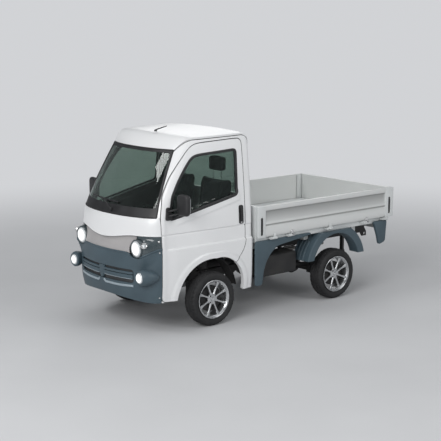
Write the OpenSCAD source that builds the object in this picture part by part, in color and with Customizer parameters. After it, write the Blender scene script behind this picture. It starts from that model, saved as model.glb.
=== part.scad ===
// Small cab-over pickup truck with a drop-side bed.
// Millimetres, +Z up, -Y forwards, +X to the truck's left. The origin is on the ground, mid-length.

/* [Overall] */
// Distance between the axles
wheelbase = 1685; // [1620:5:1750]
// Front axle, behind the foremost point
front_overhang = 820; // [790:5:850]

/* [Wheels] */
// Tyre outside diameter
tyre_d = 532; // [500:2:560]
// Tyre section width
tyre_w = 155; // [135:5:165]
// Rim bead diameter
rim_d = 356; // [305:1:370]
// Middle of the tyre from the centre line
wheel_x = 652; // [645:1:660]
// Number of rim spokes
spoke_count = 8; // [5:1:10]
// Wheel spindle radius
spindle_r = 22; // [18:1:26]

/* [Cab] */
// Length of the cab
cab_l = 1361; // [1340:1:1400]
// Width of the cab at its back
cab_w = 1374; // [1350:2:1400]
// Height of the roof gutter at the back of the cab
gutter_z = 1852; // [1800:4:1900]
// Rise of the roof above the gutters
roof_crown = 22; // [15:1:45]
// Space between the cab and the bed
cab_bed_gap = 27; // [20:1:60]
// How much wider the cab is at its back than behind its front corners, each side
cab_toe = 47; // [20:1:60]
// Thickness of doors and body sides
door_t = 45; // [35:1:55]
// Thickness of the front panel and the bumper moulding
front_t = 14; // [10:1:20]
// Thickness of the roof
roof_t = 22; // [15:1:30]
// Thickness of the glass
glass_t = 6; // [4:1:8]
// Gap around the doors
door_gap = 7; // [6:1:9]
// Front edge of the doors, behind the foremost point
door_front = 265; // [255:1:275]
// Rear edge of the doors, ahead of the back of the cab
door_rear = 108; // [100:1:125]
// Radius of the front wheel arch
arch_r = 400; // [380:5:415]
// Door hinge pin radius
hinge_pin_r = 5; // [4:0.5:6]

/* [Bed] */
// Outside width over the side gates
bed_w = 1452; // [1420:2:1470]
// Length of the side gates
bed_l = 1988; // [1900:4:2040]
// Bottom edge of the gates
gate_z = 790; // [770:5:820]
// Height of the gates
gate_h = 320; // [250:5:380]
// Thickness of the gates
gate_t = 36; // [30:1:42]
// Height of the gate hinge axis below the gates
gate_hinge_drop = 15; // [15:1:20]
// Gate hinge pin radius
gate_pin_r = 6; // [5:0.5:8]

/* [Chassis] */
// Middle of a frame rail from the centre line
rail_x = 340; // [320:1:350]
// Width of a frame rail
rail_w = 60; // [50:1:70]
// King pin from the centre line
king_x = 560; // [555:1:565]
// King pin radius
king_r = 14; // [12:1:16]

/* [Hidden] */
$fn = 48;
// Gap between fixed panels that meet
seam = 0.4;
// Radial running clearance of pins and spindles
run = 0.05;
// Least gap between pieces that move past each other
clear = 6;

// Length over all, with the reach of the rear hinge knuckles
knuckle_reach = 24;
truck_l = cab_l + cab_bed_gap + bed_l + knuckle_reach;
front_y = -truck_l / 2;
axle_f = front_y + front_overhang;
axle_r = axle_f + wheelbase;
axle_z = tyre_d / 2;
cab_back = front_y + cab_l;
bed_front = cab_back + cab_bed_gap;
bed_rear = bed_front + bed_l;
door_front_y = front_y + door_front;
door_rear_y = cab_back - door_rear;
gate_top = gate_z + gate_h;
gate_hinge_z = gate_z - gate_hinge_drop;
gate_hinge_x = bed_w / 2 + 12;
gate_hinge_y = bed_rear + 10;
deck_x = bed_w / 2 - gate_t - clear;
hinge_x = cab_w / 2 - 59;
hinge_y = door_front_y + 20;

// Bottom of the windscreen; the heights above it are drawn for one gutter height and follow gutter_z
cowl_z = 1115;
// Plan angles of the front corner's columns, with the height at which the roof gutter crosses each one
CORNER = [[50, 1690], [57.3, 1725], [65, 1780], [76, 1822], [90, 1838]];
n_corner = len(CORNER);
corner_top = CORNER[n_corner - 1][1];
// Rise of the gutter from there to the back of the cab
gutter_rise = 14;
drawn_gutter = corner_top + gutter_rise;
function up(z) = z <= cowl_z ? z : cowl_z + (z - cowl_z) * (gutter_z - cowl_z) / (drawn_gutter - cowl_z);

// Cab skin by height: [height, centre front behind the foremost point, side in from the widest,
// corner depth]
SKIN_ROWS = [
  [300, 40, 20, 240], [420, 12, 8, 258], [640, 4, 2, 268], [780, 12, 0, 270],
  [900, 26, 4, 270], [1000, 38, 8, 268], [1080, 55, 11, 262], [1130, 80, 14, 255],
  [1330, 190, 28, 235], [1530, 312, 46, 215], [1730, 438, 67, 195], [1872, 527, 84, 181]];
SKIN = [for (r = SKIN_ROWS) [up(r[0]), r[1], r[2], r[3]]];

// Column of SKIN at height z, by a smooth curve through the rows
function skin_row(z, i = 0) = i >= len(SKIN) - 2 || z < SKIN[i + 1][0] ? i : skin_row(z, i + 1);
function skin_slope(i, c) = let (a = max(i - 1, 0), b = min(i + 1, len(SKIN) - 1))
  (SKIN[b][c] - SKIN[a][c]) / (SKIN[b][0] - SKIN[a][0]);
function skin_at(z, c) = let (i = skin_row(z), h = SKIN[i + 1][0] - SKIN[i][0], t = (z - SKIN[i][0]) / h)
  SKIN[i][c] * (1 + 2 * t) * (1 - t) * (1 - t) + SKIN[i + 1][c] * t * t * (3 - 2 * t)
  + h * t * (1 - t) * (skin_slope(i, c) * (1 - t) - skin_slope(i + 1, c) * t);
function nose_y(z) = front_y + skin_at(z, 1);
function half_w(z) = cab_w / 2 - cab_toe - skin_at(z, 2);
function corner_d(z) = skin_at(z, 3);

function ease(t) = let (s = min(max(t, 0), 1)) s * s * (3 - 2 * s);

// Front surface at plan angle t, from the nose round to the side, at height z
function front_pt(t, z) = [half_w(z) * sin(t), nose_y(z) + corner_d(z) * (1 - cos(t)), z];
// Plan angle at which the front surface reaches y
function angle_at(y, z) = acos(min(max(1 - (y - nose_y(z)) / corner_d(z), -1), 1));

// Side surface: a band below the crease is set in, and the lower body stands out below a ledge
crease_z = 945;
ledge_z = 812;
function side_step(y, z) = ease((y - door_front_y) / 180)
  * (14 * ease((ledge_z + 6 - z) / 14) - 6 * ease((crease_z - z) / 12) * ease((z - ledge_z + 4) / 12));
back_r = 50;
function back_round(d) = back_r - sqrt(max(back_r * back_r - d * d, 0));
function side_pt(y, z) = let (yc = nose_y(z) + corner_d(z), q = (y - yc) / (cab_back - yc), w = half_w(z))
  y < yc ? front_pt(angle_at(y, z), z) + [side_step(y, z), 0, 0]
  : [w + cab_toe * (1 - (1 - q) * (1 - q)) + side_step(y, z) - back_round(max(y - cab_back + back_r, 0)),
     y, z];

// Outward normals of a grid of points, and the grid moved inwards by t
function cell(g, i, j) = g[min(max(i, 0), len(g) - 1)][min(max(j, 0), len(g[0]) - 1)];
function unit(v) = v / norm(v);
function inset(g, t) = [for (i = [0 : len(g) - 1]) [for (j = [0 : len(g[0]) - 1])
  g[i][j] - t * unit(cross(cell(g, i, j + 1) - cell(g, i, j - 1), cell(g, i + 1, j) - cell(g, i - 1, j)))]];

// Closed sheet of thickness t behind a grid of outside points, whose rows run upwards
module sheet(g, t) {
  nr = len(g);
  nc = len(g[0]);
  n = nr * nc;
  inner = inset(g, t);
  quads = concat(
    [for (i = [0 : nr - 2]) for (j = [0 : nc - 2])
      [i * nc + j, (i + 1) * nc + j, (i + 1) * nc + j + 1, i * nc + j + 1]],
    [for (i = [0 : nr - 2]) for (j = [0 : nc - 2])
      [n + i * nc + j, n + i * nc + j + 1, n + (i + 1) * nc + j + 1, n + (i + 1) * nc + j]],
    [for (j = [0 : nc - 2]) [j, j + 1, n + j + 1, n + j]],
    [for (j = [0 : nc - 2]) let (k = (nr - 1) * nc + j) [k, n + k, n + k + 1, k + 1]],
    [for (i = [0 : nr - 2]) let (k = i * nc) [k, n + k, n + k + nc, k + nc]],
    [for (i = [0 : nr - 2]) let (k = i * nc + nc - 1) [k, k + nc, n + k + nc, n + k]]);
  polyhedron(points = concat([for (r = g) each r], [for (r = inner) each r]),
    faces = [for (q = quads) each [[q[0], q[1], q[2]], [q[0], q[2], q[3]]]], convexity = 8);
}

// Outline in the side plane pushed through the truck from x0 to x1, and in the front plane from y0 to y1
module along_x(x0, x1) multmatrix([[0, 0, 1, x0], [1, 0, 0, 0], [0, 1, 0, 0], [0, 0, 0, 1]])
  linear_extrude(x1 - x0) children();
module along_y(y0, y1) translate([0, y1, 0]) rotate([90, 0, 0]) linear_extrude(y1 - y0) children();
module both_sides() { children(); mirror([1, 0, 0]) children(); }
// A bar between two points
module rod(a, b, r) {
  v = b - a;
  translate(a) rotate([0, acos(v[2] / norm(v)), atan2(v[1], v[0])]) cylinder(r = r, h = norm(v));
}
module slab(x0, x1, y0, y1, z0, z1) translate([x0, y0, z0]) cube([x1 - x0, y1 - y0, z1 - z0]);

// The columns behind them, as parts of the way to the back corner, then angles round that corner
SIDE_PARTS = [0.1, 0.26, 0.46, 0.68, 0.86];
BACK_ANGLES = [0, 30, 60, 86, 90];
n_side = n_corner + len(SIDE_PARTS);
n_cols = n_side + len(BACK_ANGLES);
// y of column j at height z
function col_y(j, z) = let (yc = nose_y(z) + corner_d(z), yb = cab_back - back_r)
  j < n_corner ? nose_y(z) + corner_d(z) * (1 - cos(CORNER[j][0]))
  : j < n_side ? yc + SIDE_PARTS[j - n_corner] * (yb - yc)
  : yb + back_r * sin(BACK_ANGLES[j - n_side]);
// Gutter height of column j
function col_top(j) = j < n_corner ? up(CORNER[j][1])
  : j < n_side ? up(corner_top + gutter_rise * SIDE_PARTS[j - n_corner])
  : gutter_z - back_r * (1 - cos(BACK_ANGLES[j - n_side]));
function gutter_pt(j) = side_pt(col_y(j, col_top(j)), col_top(j));

// Rows of the side sheet: fixed heights below the cowl, then parts of the way to the gutter
SIDE_ROWS = [300, 430, 610, 790, 803, 818, 828, 933, 945, 1030, cowl_z];
SIDE_TOPS = [0.2, 0.4, 0.6, 0.8, 1];
function side_row(i, j) = i < len(SIDE_ROWS) ? SIDE_ROWS[i]
  : cowl_z + SIDE_TOPS[i - len(SIDE_ROWS)] * (col_top(j) - roof_t - 4 - cowl_z);
// A flat return behind the back corner ends each row
back_flat = 30;
n_rows = len(SIDE_ROWS) + len(SIDE_TOPS);
side_grid = [for (i = [0 : n_rows - 1]) [for (j = [0 : n_cols])
  let (k = min(j, n_cols - 1), z = side_row(i, k), flat = j == n_cols ? back_flat : 0)
    side_pt(col_y(k, z), z) - [flat, 0, 0]]];

// Door outline in the side plane: [y, z] up the front edge, over the top, down the back, round the arch
DOOR = [[door_front_y, 305], [door_front_y, 1110], [front_y + 325, up(1314)], [front_y + 419, up(1476)],
  [front_y + 500, up(1583)], [front_y + 595, up(1696)], [front_y + 646, up(1744)],
  [front_y + 698, up(1770)], [front_y + 759, up(1781)], [door_rear_y - 82, up(1797)],
  [door_rear_y - 28, up(1794)], [door_rear_y, up(1768)],
  [door_rear_y, 830], [door_rear_y - 15, 750], [door_rear_y - 50, 680], [door_rear_y - 113, 612],
  [door_rear_y - 193, 540], [axle_f, 305]];
// Door window outline: [y, z] from the lower front corner
WINDOW = [[front_y + 355, 1088], [front_y + 400, up(1300)], [front_y + 474, up(1427)],
  [front_y + 579, up(1568)], [front_y + 649, up(1644)], [front_y + 700, up(1666)], [front_y + 760, up(1674)],
  [door_rear_y - 76, up(1695)], [door_rear_y - 92, up(1259)]];
module door_outline() polygon(DOOR);
module window_outline() offset(r = 22, $fn = 24) offset(delta = -22) polygon(WINDOW);
module arch_outline() {
  translate([axle_f, axle_z]) circle(arch_r);
  translate([axle_f + 100, axle_z + 100]) circle(arch_r - 100);
}
// Lip pressed out round the arch: its width and height
arch_lip = 60;
lip_out = 9;
// Windscreen half outline in the front plane
ws_base = cab_w / 2 - 102;
ws_z0 = cowl_z + 1.6;
ws_z1 = up(CORNER[1][1]) - 2.6;
ws_top = half_w(ws_z1) * sin(CORNER[1][0]);
function ws_x(z) = ws_base + (ws_top - ws_base) * (z - ws_z0) / (ws_z1 - ws_z0);

module door_sheet() sheet(side_grid, door_t);
module lipped_sheet() {
  door_sheet();
  intersection() {
    sheet(inset(side_grid, -lip_out), lip_out + 20);
    through_side() offset(delta = arch_lip) arch_outline();
  }
}
module through_side() along_x(cab_w / 4, cab_w) children();

// Hinges of a door: [bottom of the lug, height of lug]
HINGES = [[470, 30], [860, 30]];
module door_body() color("white") {
  difference() {
    intersection() {
      lipped_sheet();
      through_side() difference() {
        door_outline();
        window_outline();
        arch_outline();
      }
    }
    for (h = HINGES) slab(hinge_x - 60, hinge_x + 72, door_front_y - 20, hinge_y + 18,
      h[0] - clear, h[0] + 2 * h[1] + clear + 1);
  }
}
// Moving halves of the door hinges
module door_hinges() color("gray") for (h = HINGES) difference() {
  union() {
    translate([hinge_x, hinge_y, h[0] + h[1] + 1]) cylinder(r = hinge_pin_r + 5, h = h[1]);
    slab(hinge_x - 14, hinge_x - 2, hinge_y - 4, hinge_y + 18 - seam, h[0] + h[1] + 1, h[0] + 2 * h[1] + 1);
  }
  translate([hinge_x, hinge_y, h[0]]) cylinder(r = hinge_pin_r + run, h = 3 * h[1]);
}
module door_hinges_left() door_hinges();
module door_hinges_right() mirror([1, 0, 0]) door_hinges();
module door_left() door_body();
module door_right() mirror([1, 0, 0]) door_body();

// Grid of the door glass: heights, and parts of the way along it
GLASS_Z = [1070, 1160, 1260, 1360, 1460, 1560, 1630, 1705];
GLASS_Y = [0, 0.093, 0.198, 0.314, 0.488, 0.756, 1];
glass_y = [front_y + 330, door_rear_y - 63];
glass_grid = [for (r = GLASS_Z) [for (q = GLASS_Y) let (z = up(r), d = q * (glass_y[1] - glass_y[0]))
  side_pt(max(glass_y[0] + d, nose_y(z) + 0.35 * corner_d(z) + 0.1 * d), z)]];
module door_glass() color("lightblue", 0.5) intersection() {
  sheet(inset(glass_grid, 14), glass_t);
  through_side() offset(delta = -seam) window_outline();
}
module door_glass_left() door_glass();
module door_glass_right() mirror([1, 0, 0]) door_glass();

// Mirror head, held by two arms from a pad ahead of the window
mirror_at = [cab_w / 2 + 58, front_y + 438, up(1236)];
mirror_pad_y = front_y + 335;
module mirror_unit() color("black") {
  translate(mirror_at) rotate([90, 0, 8]) linear_extrude(60, center = true)
    offset(r = 28) square([94, 150], center = true);
  translate([0, 0, cowl_z - 5]) linear_extrude(80) polygon([
    for (d = [-20, 0, 20]) [side_pt(mirror_pad_y + d, cowl_z - 5)[0] + 0.7, mirror_pad_y + d],
    [hinge_x + 20, mirror_pad_y + 16], [hinge_x + 20, mirror_pad_y - 10]]);
  for (z = [15, 60])
    rod([hinge_x + 10, mirror_pad_y, cowl_z + z], [mirror_at[0] - 50, mirror_at[1], cowl_z + z + 30], 9);
}
module mirror_left() mirror_unit();
module mirror_right() mirror([1, 0, 0]) mirror_unit();

// Door pull near the rear edge
handle_y = door_rear_y - 50;
module handle_unit() {
  x = side_pt(handle_y, 1060)[0];
  color("black") difference() {
    slab(x - 4, x + 24, handle_y - 27, handle_y + 27, 962, 1146);
    slab(x - 30, x + 12, handle_y - 43, handle_y + 12, 990, 1118);
    along_y(handle_y - 100, handle_y + 100) polygon([
      for (z = [950 : 20 : 1160]) [side_pt(handle_y + 27, z)[0] + 0.6, z], [x - 70, 1150], [x - 70, 950]]);
  }
}
module handle_left() handle_unit();
module handle_right() mirror([1, 0, 0]) handle_unit();

module cab_sides() color("white") both_sides() {
  difference() {
    lipped_sheet();
    through_side() offset(delta = door_gap) door_outline();
    through_side() arch_outline();
    slab(cab_w / 4, cab_w, front_y - 100, door_front_y, 250, cowl_z + seam);
    along_y(front_y - 100, front_y + 800) polygon([
      [0, cowl_z], [ws_base + seam, cowl_z], [ws_base + seam, ws_z0], [ws_top + seam, ws_z1],
      [ws_top + seam, gutter_z + 150], [0, gutter_z + 150]]);
  }
  slab(floor_x + seam, cab_w / 2 - 20, cab_back - 91, cab_back - 56, seat_z - 25, seat_z);
}

panel_y = door_front_y - door_gap;
// Edge of the bonnet, top of the grey fascia, bottom of the bumper, along the front
function bonnet_z(t) = 897 + 48 * ease(abs(t) / 44);
function fascia_z(t) = let (a = abs(t)) 780 - 40 * ease((a - 30) / 16) + 85 * ease((a - 46) / 38);
function bumper_z(t) = 345 - 45 * ease(abs(t) / 75);
lamp_at = [cab_w / 2 - 227, front_y + 83, 822];
lamp_r = 92;
front_zone = [front_y - 100, front_y + 300];
module lamp_drum(r) translate([lamp_at[0], 0, lamp_at[2]]) along_y(front_zone[0], front_zone[1]) circle(r);

// Grid between two edges on the front surface; columns beyond 80 degrees run on past the panel's end
function front_grid(lo, hi, parts, cols) = [for (f = parts) [for (t = cols)
  let (z = lo(t) + f * (hi(t) - lo(t)), e = angle_at(panel_y + 10, z))
    front_pt(abs(t) > 80 ? sign(t) * e : t, z)]];
front_step = 11;
FRONT_T = [-90, each [for (k = [-6 : 6]) k * front_step], 90];
BONNET_PARTS = [0, 0.2, 0.4, 0.6, 0.8, 0.92, 1];
BUMPER_PARTS = [0, 0.25, 0.5, 0.75, 1];
LAMP_T = [4.14 * front_step, 5 * front_step, 6 * front_step, 90];
// Gap along the edges where the front pieces meet
edge = 2;
module behind_front() slab(-cab_w, cab_w, panel_y, panel_y + 100, 200, cowl_z + 50);

module front_panel() color("white") difference() {
  union() {
    sheet(front_grid(function (t) bonnet_z(t), function (t) cowl_z, BONNET_PARTS, FRONT_T), front_t);
    sheet(inset(front_grid(function (t) fascia_z(t) + edge, function (t) bonnet_z(t) + 12, [0, 0.5, 1],
      [for (k = [-4 : 4]) k * front_step]), 11), front_t - 3);
    both_sides() slab(280, 320, nose_y(1020) + 40, firewall_y - seam, 1010, 1040);
  }
  both_sides() lamp_drum(lamp_r + seam);
  behind_front();
}

// Fog lamp pods: place of the front of the lens, and section [radius, distance back]
pod_at = [cab_w / 2 - 134, front_y + 44, 561];
pod_lens_r = 54;
POD = [[0, 0], [60, 0], [70, 6], [76, 20], [77, 60], [70, 100], [52, 147], [0, 147]];
// Grille opening: width, height, corner radius and middle height
grille_w = 0.59 * cab_w;
grille_h = 81;
grille_r = 25;
grille_z = 552;
// Bright strip under each half of the grille: bottom, top
strip_z = [442, 466];
module front_bumper() color("slategray") difference() {
  union() {
    both_sides() sheet(inset(front_grid(function (t) strip_z[0], function (t) strip_z[1], [0, 1],
      [for (k = [0 : 4]) 4 + 9.5 * k]), -4), 10);
    sheet(front_grid(function (t) bumper_z(t), function (t) fascia_z(t), BUMPER_PARTS, FRONT_T), front_t);
    both_sides() {
      slab(rail_x - 20, rail_x + 20, nose_y(430) + 50, rail_front - seam, 410, 450);
      translate(pod_at) rotate([-90, 0, 0]) rotate_extrude() polygon(POD);
    }
  }
  both_sides() lamp_drum(lamp_r + seam);
  both_sides() translate([pod_at[0], 0, pod_at[2]]) along_y(front_zone[0], pod_at[1] + 40)
    circle(pod_lens_r + seam);
  translate([0, 0, grille_z]) along_y(front_zone[0], front_zone[1]) offset(r = grille_r, $fn = 24)
    square([grille_w, grille_h], center = true);
  behind_front();
}
module fog_lamps() color("gainsboro") both_sides() translate(pod_at) rotate([-90, 0, 0]) rotate_extrude()
  polygon([[0, -10], [25, -8], [44, -2], [pod_lens_r, 8], [pod_lens_r, 40 - seam], [0, 40 - seam]]);
// Grille slats: [bottom above the middle of the opening, height]
SLATS = [[-25, 37], [18, 23]];
slat_step = 10.4;
module grille() color("dimgray") {
  cols = [for (k = [-4 : 4]) k * front_step];
  back = front_grid(function (t) grille_z - 92, function (t) grille_z + 92, [0, 0.5, 1], cols);
  sheet(inset(back, front_t + 1.6), 10);
  for (s = SLATS) {
    slat = front_grid(function (t) grille_z + s[0], function (t) grille_z + s[0] + s[1], [0, 1],
      [for (k = [-4 : 4]) k * slat_step]);
    sheet(inset(slat, 3), front_t + 4);
  }
  translate([0, 0, grille_z]) along_y(nose_y(grille_z) + 2, nose_y(grille_z) + front_t + 6)
    polygon([[-22, -61], [22, -61], [46, 61], [-46, 61]]);
}
// Indicator in each lamp housing: plan angle, height, and the direction it faces
turn_at = [61.5, 860, 38];
module headlamps() both_sides() {
  color("gainsboro") translate(lamp_at) rotate([-90, 0, 0]) rotate_extrude()
    polygon([[0, -14], [40, -11], [70, -3], [82, 6], [lamp_r, 8], [lamp_r, 95], [0, 95]]);
  color("orange") translate(front_pt(turn_at[0], turn_at[1])) rotate([-90, 0, turn_at[2]]) rotate_extrude()
    polygon([[0, -9], [20, -8], [29, -3], [29, 16], [0, 16]]);
  housing = front_grid(function (t) fascia_z(t) + edge, function (t) bonnet_z(t) - edge, [0, 0.5, 1], LAMP_T);
  color("dimgray") difference() {
    sheet(housing, front_t);
    lamp_drum(lamp_r - 2);
    behind_front();
  }
}

module windscreen() color("lightblue", 0.5)
  sheet([for (f = [0 : 1 / 6 : 1]) let (z = ws_z0 + f * (ws_z1 - ws_z0), e = asin(ws_x(z) / half_w(z)))
    [for (k = [-6 : 6]) front_pt(e * k / 6, z)]], glass_t);

// Roof rows follow the gutter columns from the header to the back edge
function roof_pt(j, f) = let (g = gutter_pt(j), h = gutter_pt(1), s = (g[1] - h[1]) / (cab_back - h[1]),
    bow = corner_d(h[2]) * (1 - cos(CORNER[1][0])) * (1 - s) * (1 - s), rise = roof_crown * ease(s * 5))
  [g[0] * f, g[1] - bow * (1 - f * f), g[2] + rise * (1 - pow(abs(f), 2.5))];
ROOF_PARTS = [-1, -0.9, -0.7, -0.45, -0.2, 0, 0.2, 0.45, 0.7, 0.9, 1];
module roof_panel() color("white")
  sheet([for (j = [1 : n_cols - 1]) [for (f = ROOF_PARTS) roof_pt(j, f)]], roof_t);

back_t = 40;
back_z = 560;
back_edge = [for (i = [0 : n_rows - 2]) side_grid[i][n_cols]];
module back_outline() intersection() {
  polygon([
    for (p = back_edge) [p[0] - seam, p[2]],
    for (f = [1 : -0.2 : -1]) let (p = roof_pt(n_cols - 1, f)) [p[0] * 0.93, p[2] - edge - 1],
    for (i = [len(back_edge) - 1 : -1 : 0]) [seam - back_edge[i][0], back_edge[i][2]]]);
  translate([-cab_w, back_z]) square([2 * cab_w, gutter_z]);
}
module rear_window_outline() translate([237 - cab_w / 2, up(1270)]) offset(r = 40, $fn = 24)
  square([cab_w - 474, up(1610) - up(1270)]);
module back_panel() color("white") along_y(cab_back - back_t, cab_back) difference() {
  back_outline();
  rear_window_outline();
}
module rear_window() color("lightblue", 0.5) along_y(cab_back - 20, cab_back - 20 + glass_t)
  offset(delta = -seam) rear_window_outline();

rail_front = front_y + 140;
rail_end = bed_rear - 76;
// The rails kick up between these two places, from the low pair of heights to the high pair
rail_kick = [bed_front - 18, bed_front + 252];
rail_z = [[390, 470], [570, 660]];
rail_in = rail_x - rail_w / 2;
rail_out = rail_x + rail_w / 2;
tow_r = 16;
tow_t = 16;
tow_at = [rail_end + 30, 545];
module frame_rails() color("dimgray") both_sides() difference() {
  union() {
    along_x(rail_in, rail_out) polygon([[rail_front, rail_z[0][0]], [rail_front, rail_z[0][1]],
      [rail_kick[0], rail_z[0][1]], [rail_kick[1], rail_z[1][1]], [rail_end, rail_z[1][1]],
      [rail_end, rail_z[1][0]], [rail_kick[1], rail_z[1][0]], [rail_kick[0], rail_z[0][0]]]);
    along_x(rail_x - tow_t / 2, rail_x + tow_t / 2) polygon([[rail_end - 60, 600], [rail_end - 10, 520],
      [rail_end + 55, 520], [rail_end + 55, 570], [rail_end, 650]]);
  }
  rod([0, tow_at[0], tow_at[1]], [2 * rail_x, tow_at[0], tow_at[1]], tow_r);
}
// Cross tubes of the frame: [y, z]
tube_r = 25;
tube_span = [bed_front + 462, rail_end - 30];
TUBE_PARTS = [0, 0.289, 0.669, 1];
TUBES = [[rail_front + 110, 430],
  for (q = TUBE_PARTS) [tube_span[0] + q * (tube_span[1] - tube_span[0]), 615]];
module cross_tubes() color("dimgray")
  for (t = TUBES) rod([0.3 - rail_in, t[0], t[1]], [rail_in - 0.3, t[0], t[1]], tube_r);

engine_y = [axle_f - 250, axle_f + 300];
module engine() color("gray") {
  slab(-240, 240, engine_y[0], engine_y[1], 300, 620);
  both_sides() slab(239, rail_in - seam, axle_f - 20, axle_f + 60, 410, 450);
}
gearbox_l = 380;
module driveline() color("dimgray") {
  translate([0, engine_y[1] + seam, 420]) rotate([-90, 0, 0]) rotate_extrude()
    polygon([[0, 0], [140, 0], [95, 120], [70, gearbox_l], [0, gearbox_l]]);
  rod([0, engine_y[1] + gearbox_l - 20, 415], [0, axle_r - 150, axle_z + 30], 32);
  rod([0, axle_r - 160, axle_z + 31], [0, axle_r - 105.6, axle_z + 27], 20);
}
exhaust_x = -190;
exhaust_z = 370;
module exhaust() color("silver") {
  rod([exhaust_x, engine_y[1] + seam, exhaust_z], [exhaust_x, rail_end - 100, exhaust_z], 20);
  rod([exhaust_x, bed_front + 352, exhaust_z], [exhaust_x, bed_front + 742, exhaust_z], 72);
  for (k = [2, 3])
    rod([exhaust_x, TUBES[k][0], exhaust_z], [exhaust_x, TUBES[k][0], TUBES[k][1] - tube_r - seam], 6);
}
// Fuel tank, hung outside the left rail
tank_x = [rail_out + seam, deck_x - 90];
tank_r = 30;
module fuel_tank() color("dimgray") along_y(bed_front + 172, bed_front + 642)
  translate([tank_x[0] + tank_r, 372]) offset(r = tank_r) square([tank_x[1] - tank_x[0] - 2 * tank_r, 160]);

module front_suspension() color("dimgray") both_sides() {
  rod([king_x, axle_f, 180], [king_x, axle_f, 350], king_r);
  rod([king_x, axle_f, 180], [king_x, axle_f, 212], 26);
  rod([king_x, axle_f, 322], [king_x, axle_f, 350], 26);
  slab(rail_x + 10, king_x, axle_f - 22, axle_f + 22, 185, 207);
  slab(rail_x - 15, rail_x + 15, axle_f - 40, axle_f + 40, 185, rail_z[0][0] - seam);
  rod([king_x - 35, axle_f, 324], [king_x - 35, axle_f, 655], 22);
  for (k = [0 : 7]) translate([king_x - 35, axle_f, 557 + 12.5 * k]) rotate_extrude()
    translate([50, 0]) circle(7);
  rod([king_x - 35, axle_f, 545], [king_x - 35, axle_f, 551], 60);
  slab(rail_out + seam, king_x + 25, axle_f - 45, axle_f + 45, 650, 662);
  slab(rail_out + seam, rail_out + 12, axle_f - 45, axle_f + 45, 400, 655);
}

// Axle tube radius, and half of the axle's section: [radius, distance from the centre line]
axle_tube_r = 35;
hub_face = king_x + 6;
AXLE = [[105, 40], [82, 82], [52, 112], [axle_tube_r, 135], [axle_tube_r, king_x - 4], [118, king_x - 4],
  [118, hub_face], [spindle_r, hub_face], [spindle_r, wheel_x + 40], [0, wheel_x + 40]];
module rear_axle() color("dimgray") translate([0, axle_r, axle_z]) rotate([0, 90, 0]) rotate_extrude()
  polygon([for (k = [len(AXLE) - 1 : -1 : 0]) [AXLE[k][0], -AXLE[k][1]], each AXLE]);
// Leaves of a rear spring: half length of each, longest on top
LEAVES = [470, 380, 280, 180];
leaf_r = 1300;
leaf_t = 9;
module leaf_springs() color("dimgray") both_sides() difference() {
  union() {
    along_x(rail_x - 25, rail_x + 25) {
      for (k = [0 : len(LEAVES) - 1]) intersection() {
        translate([axle_r, axle_z + 40 + leaf_r]) difference() {
          circle(leaf_r - leaf_t * (len(LEAVES) - 1 - k) + leaf_t * 0.02, $fn = 200);
          circle(leaf_r - leaf_t * (len(LEAVES) - k), $fn = 200);
        }
        translate([axle_r - LEAVES[len(LEAVES) - 1 - k], 0]) square([2 * LEAVES[len(LEAVES) - 1 - k], 700]);
      }
      for (s = [-1, 1]) translate([axle_r + s * 470, axle_z + 128]) circle(20);
    }
    for (y = [axle_r - LEAVES[0], axle_r + LEAVES[0]])
      slab(rail_x - 20, rail_x + 20, y - 14, y + 14, axle_z + 128, rail_z[1][0] - seam);
    slab(rail_x - 30, rail_x + 30, axle_r - 45, axle_r + 45, axle_z - 44, axle_z + 80);
  }
  rod([0, axle_r, axle_z], [600, axle_r, axle_z], axle_tube_r + 0.3);
}

// Half width of the cab floor, its front wall, and the step up to the seats
floor_x = cab_w / 2 - 115;
firewall_y = front_y + 200;
firewall_t = 12;
wall_top = 1080;
riser_y = front_y + 400;
seat_z = 705;
floor_end = cab_back - back_t - seam;
floor_z = rail_z[0][1] + seam;
module cab_floor() color("lightgray") {
  along_x(40 - floor_x, floor_x - 40) {
    polygon([[firewall_y, floor_z], [firewall_y, wall_top], [firewall_y + firewall_t, wall_top],
      [firewall_y + firewall_t, floor_z + 20], [riser_y, floor_z + 20], [riser_y, seat_z],
      [floor_end, seat_z], [floor_end, seat_z - 28], [riser_y + 20, seat_z - 28], [riser_y + 20, floor_z]]);
  }
  both_sides() {
    slab(floor_x - 41, floor_x, axle_f - 395, floor_end, seat_z - 28, seat_z);
    along_x(floor_x - 140, floor_x) difference() {
      translate([axle_f, axle_z]) circle(arch_r + 14);
      translate([axle_f, axle_z]) circle(arch_r + 5);
      translate([axle_f - 600, -200]) square([1200, 200 + axle_z + 60]);
    }
    slab(floor_x - 72, floor_x - 26, firewall_y + firewall_t - 2, panel_y - 4, floor_z, wall_top);
    for (h = HINGES) {
      slab(floor_x - 27, hinge_x - 30, panel_y - 14, hinge_y - 5, h[0] + 2, h[0] + h[1] - 2);
      slab(hinge_x - 31, hinge_x, hinge_y - 15, hinge_y, h[0] + 2, h[0] + h[1] - 2);
      translate([hinge_x, hinge_y, h[0]]) cylinder(r = hinge_pin_r + 5, h = h[1]);
      translate([hinge_x, hinge_y, h[0]]) cylinder(r = hinge_pin_r, h = 2 * h[1] + 1);
    }
  }
}

// Middle of each seat, and the steering column ahead of the left one
seat_x = floor_x / 2 + 4;
column_at = [seat_x, front_y + 500, 1070];
column_tilt = 38;
column_r = 12;
module on_column() translate(column_at) rotate([-column_tilt, 0, 0]) children();
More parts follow.
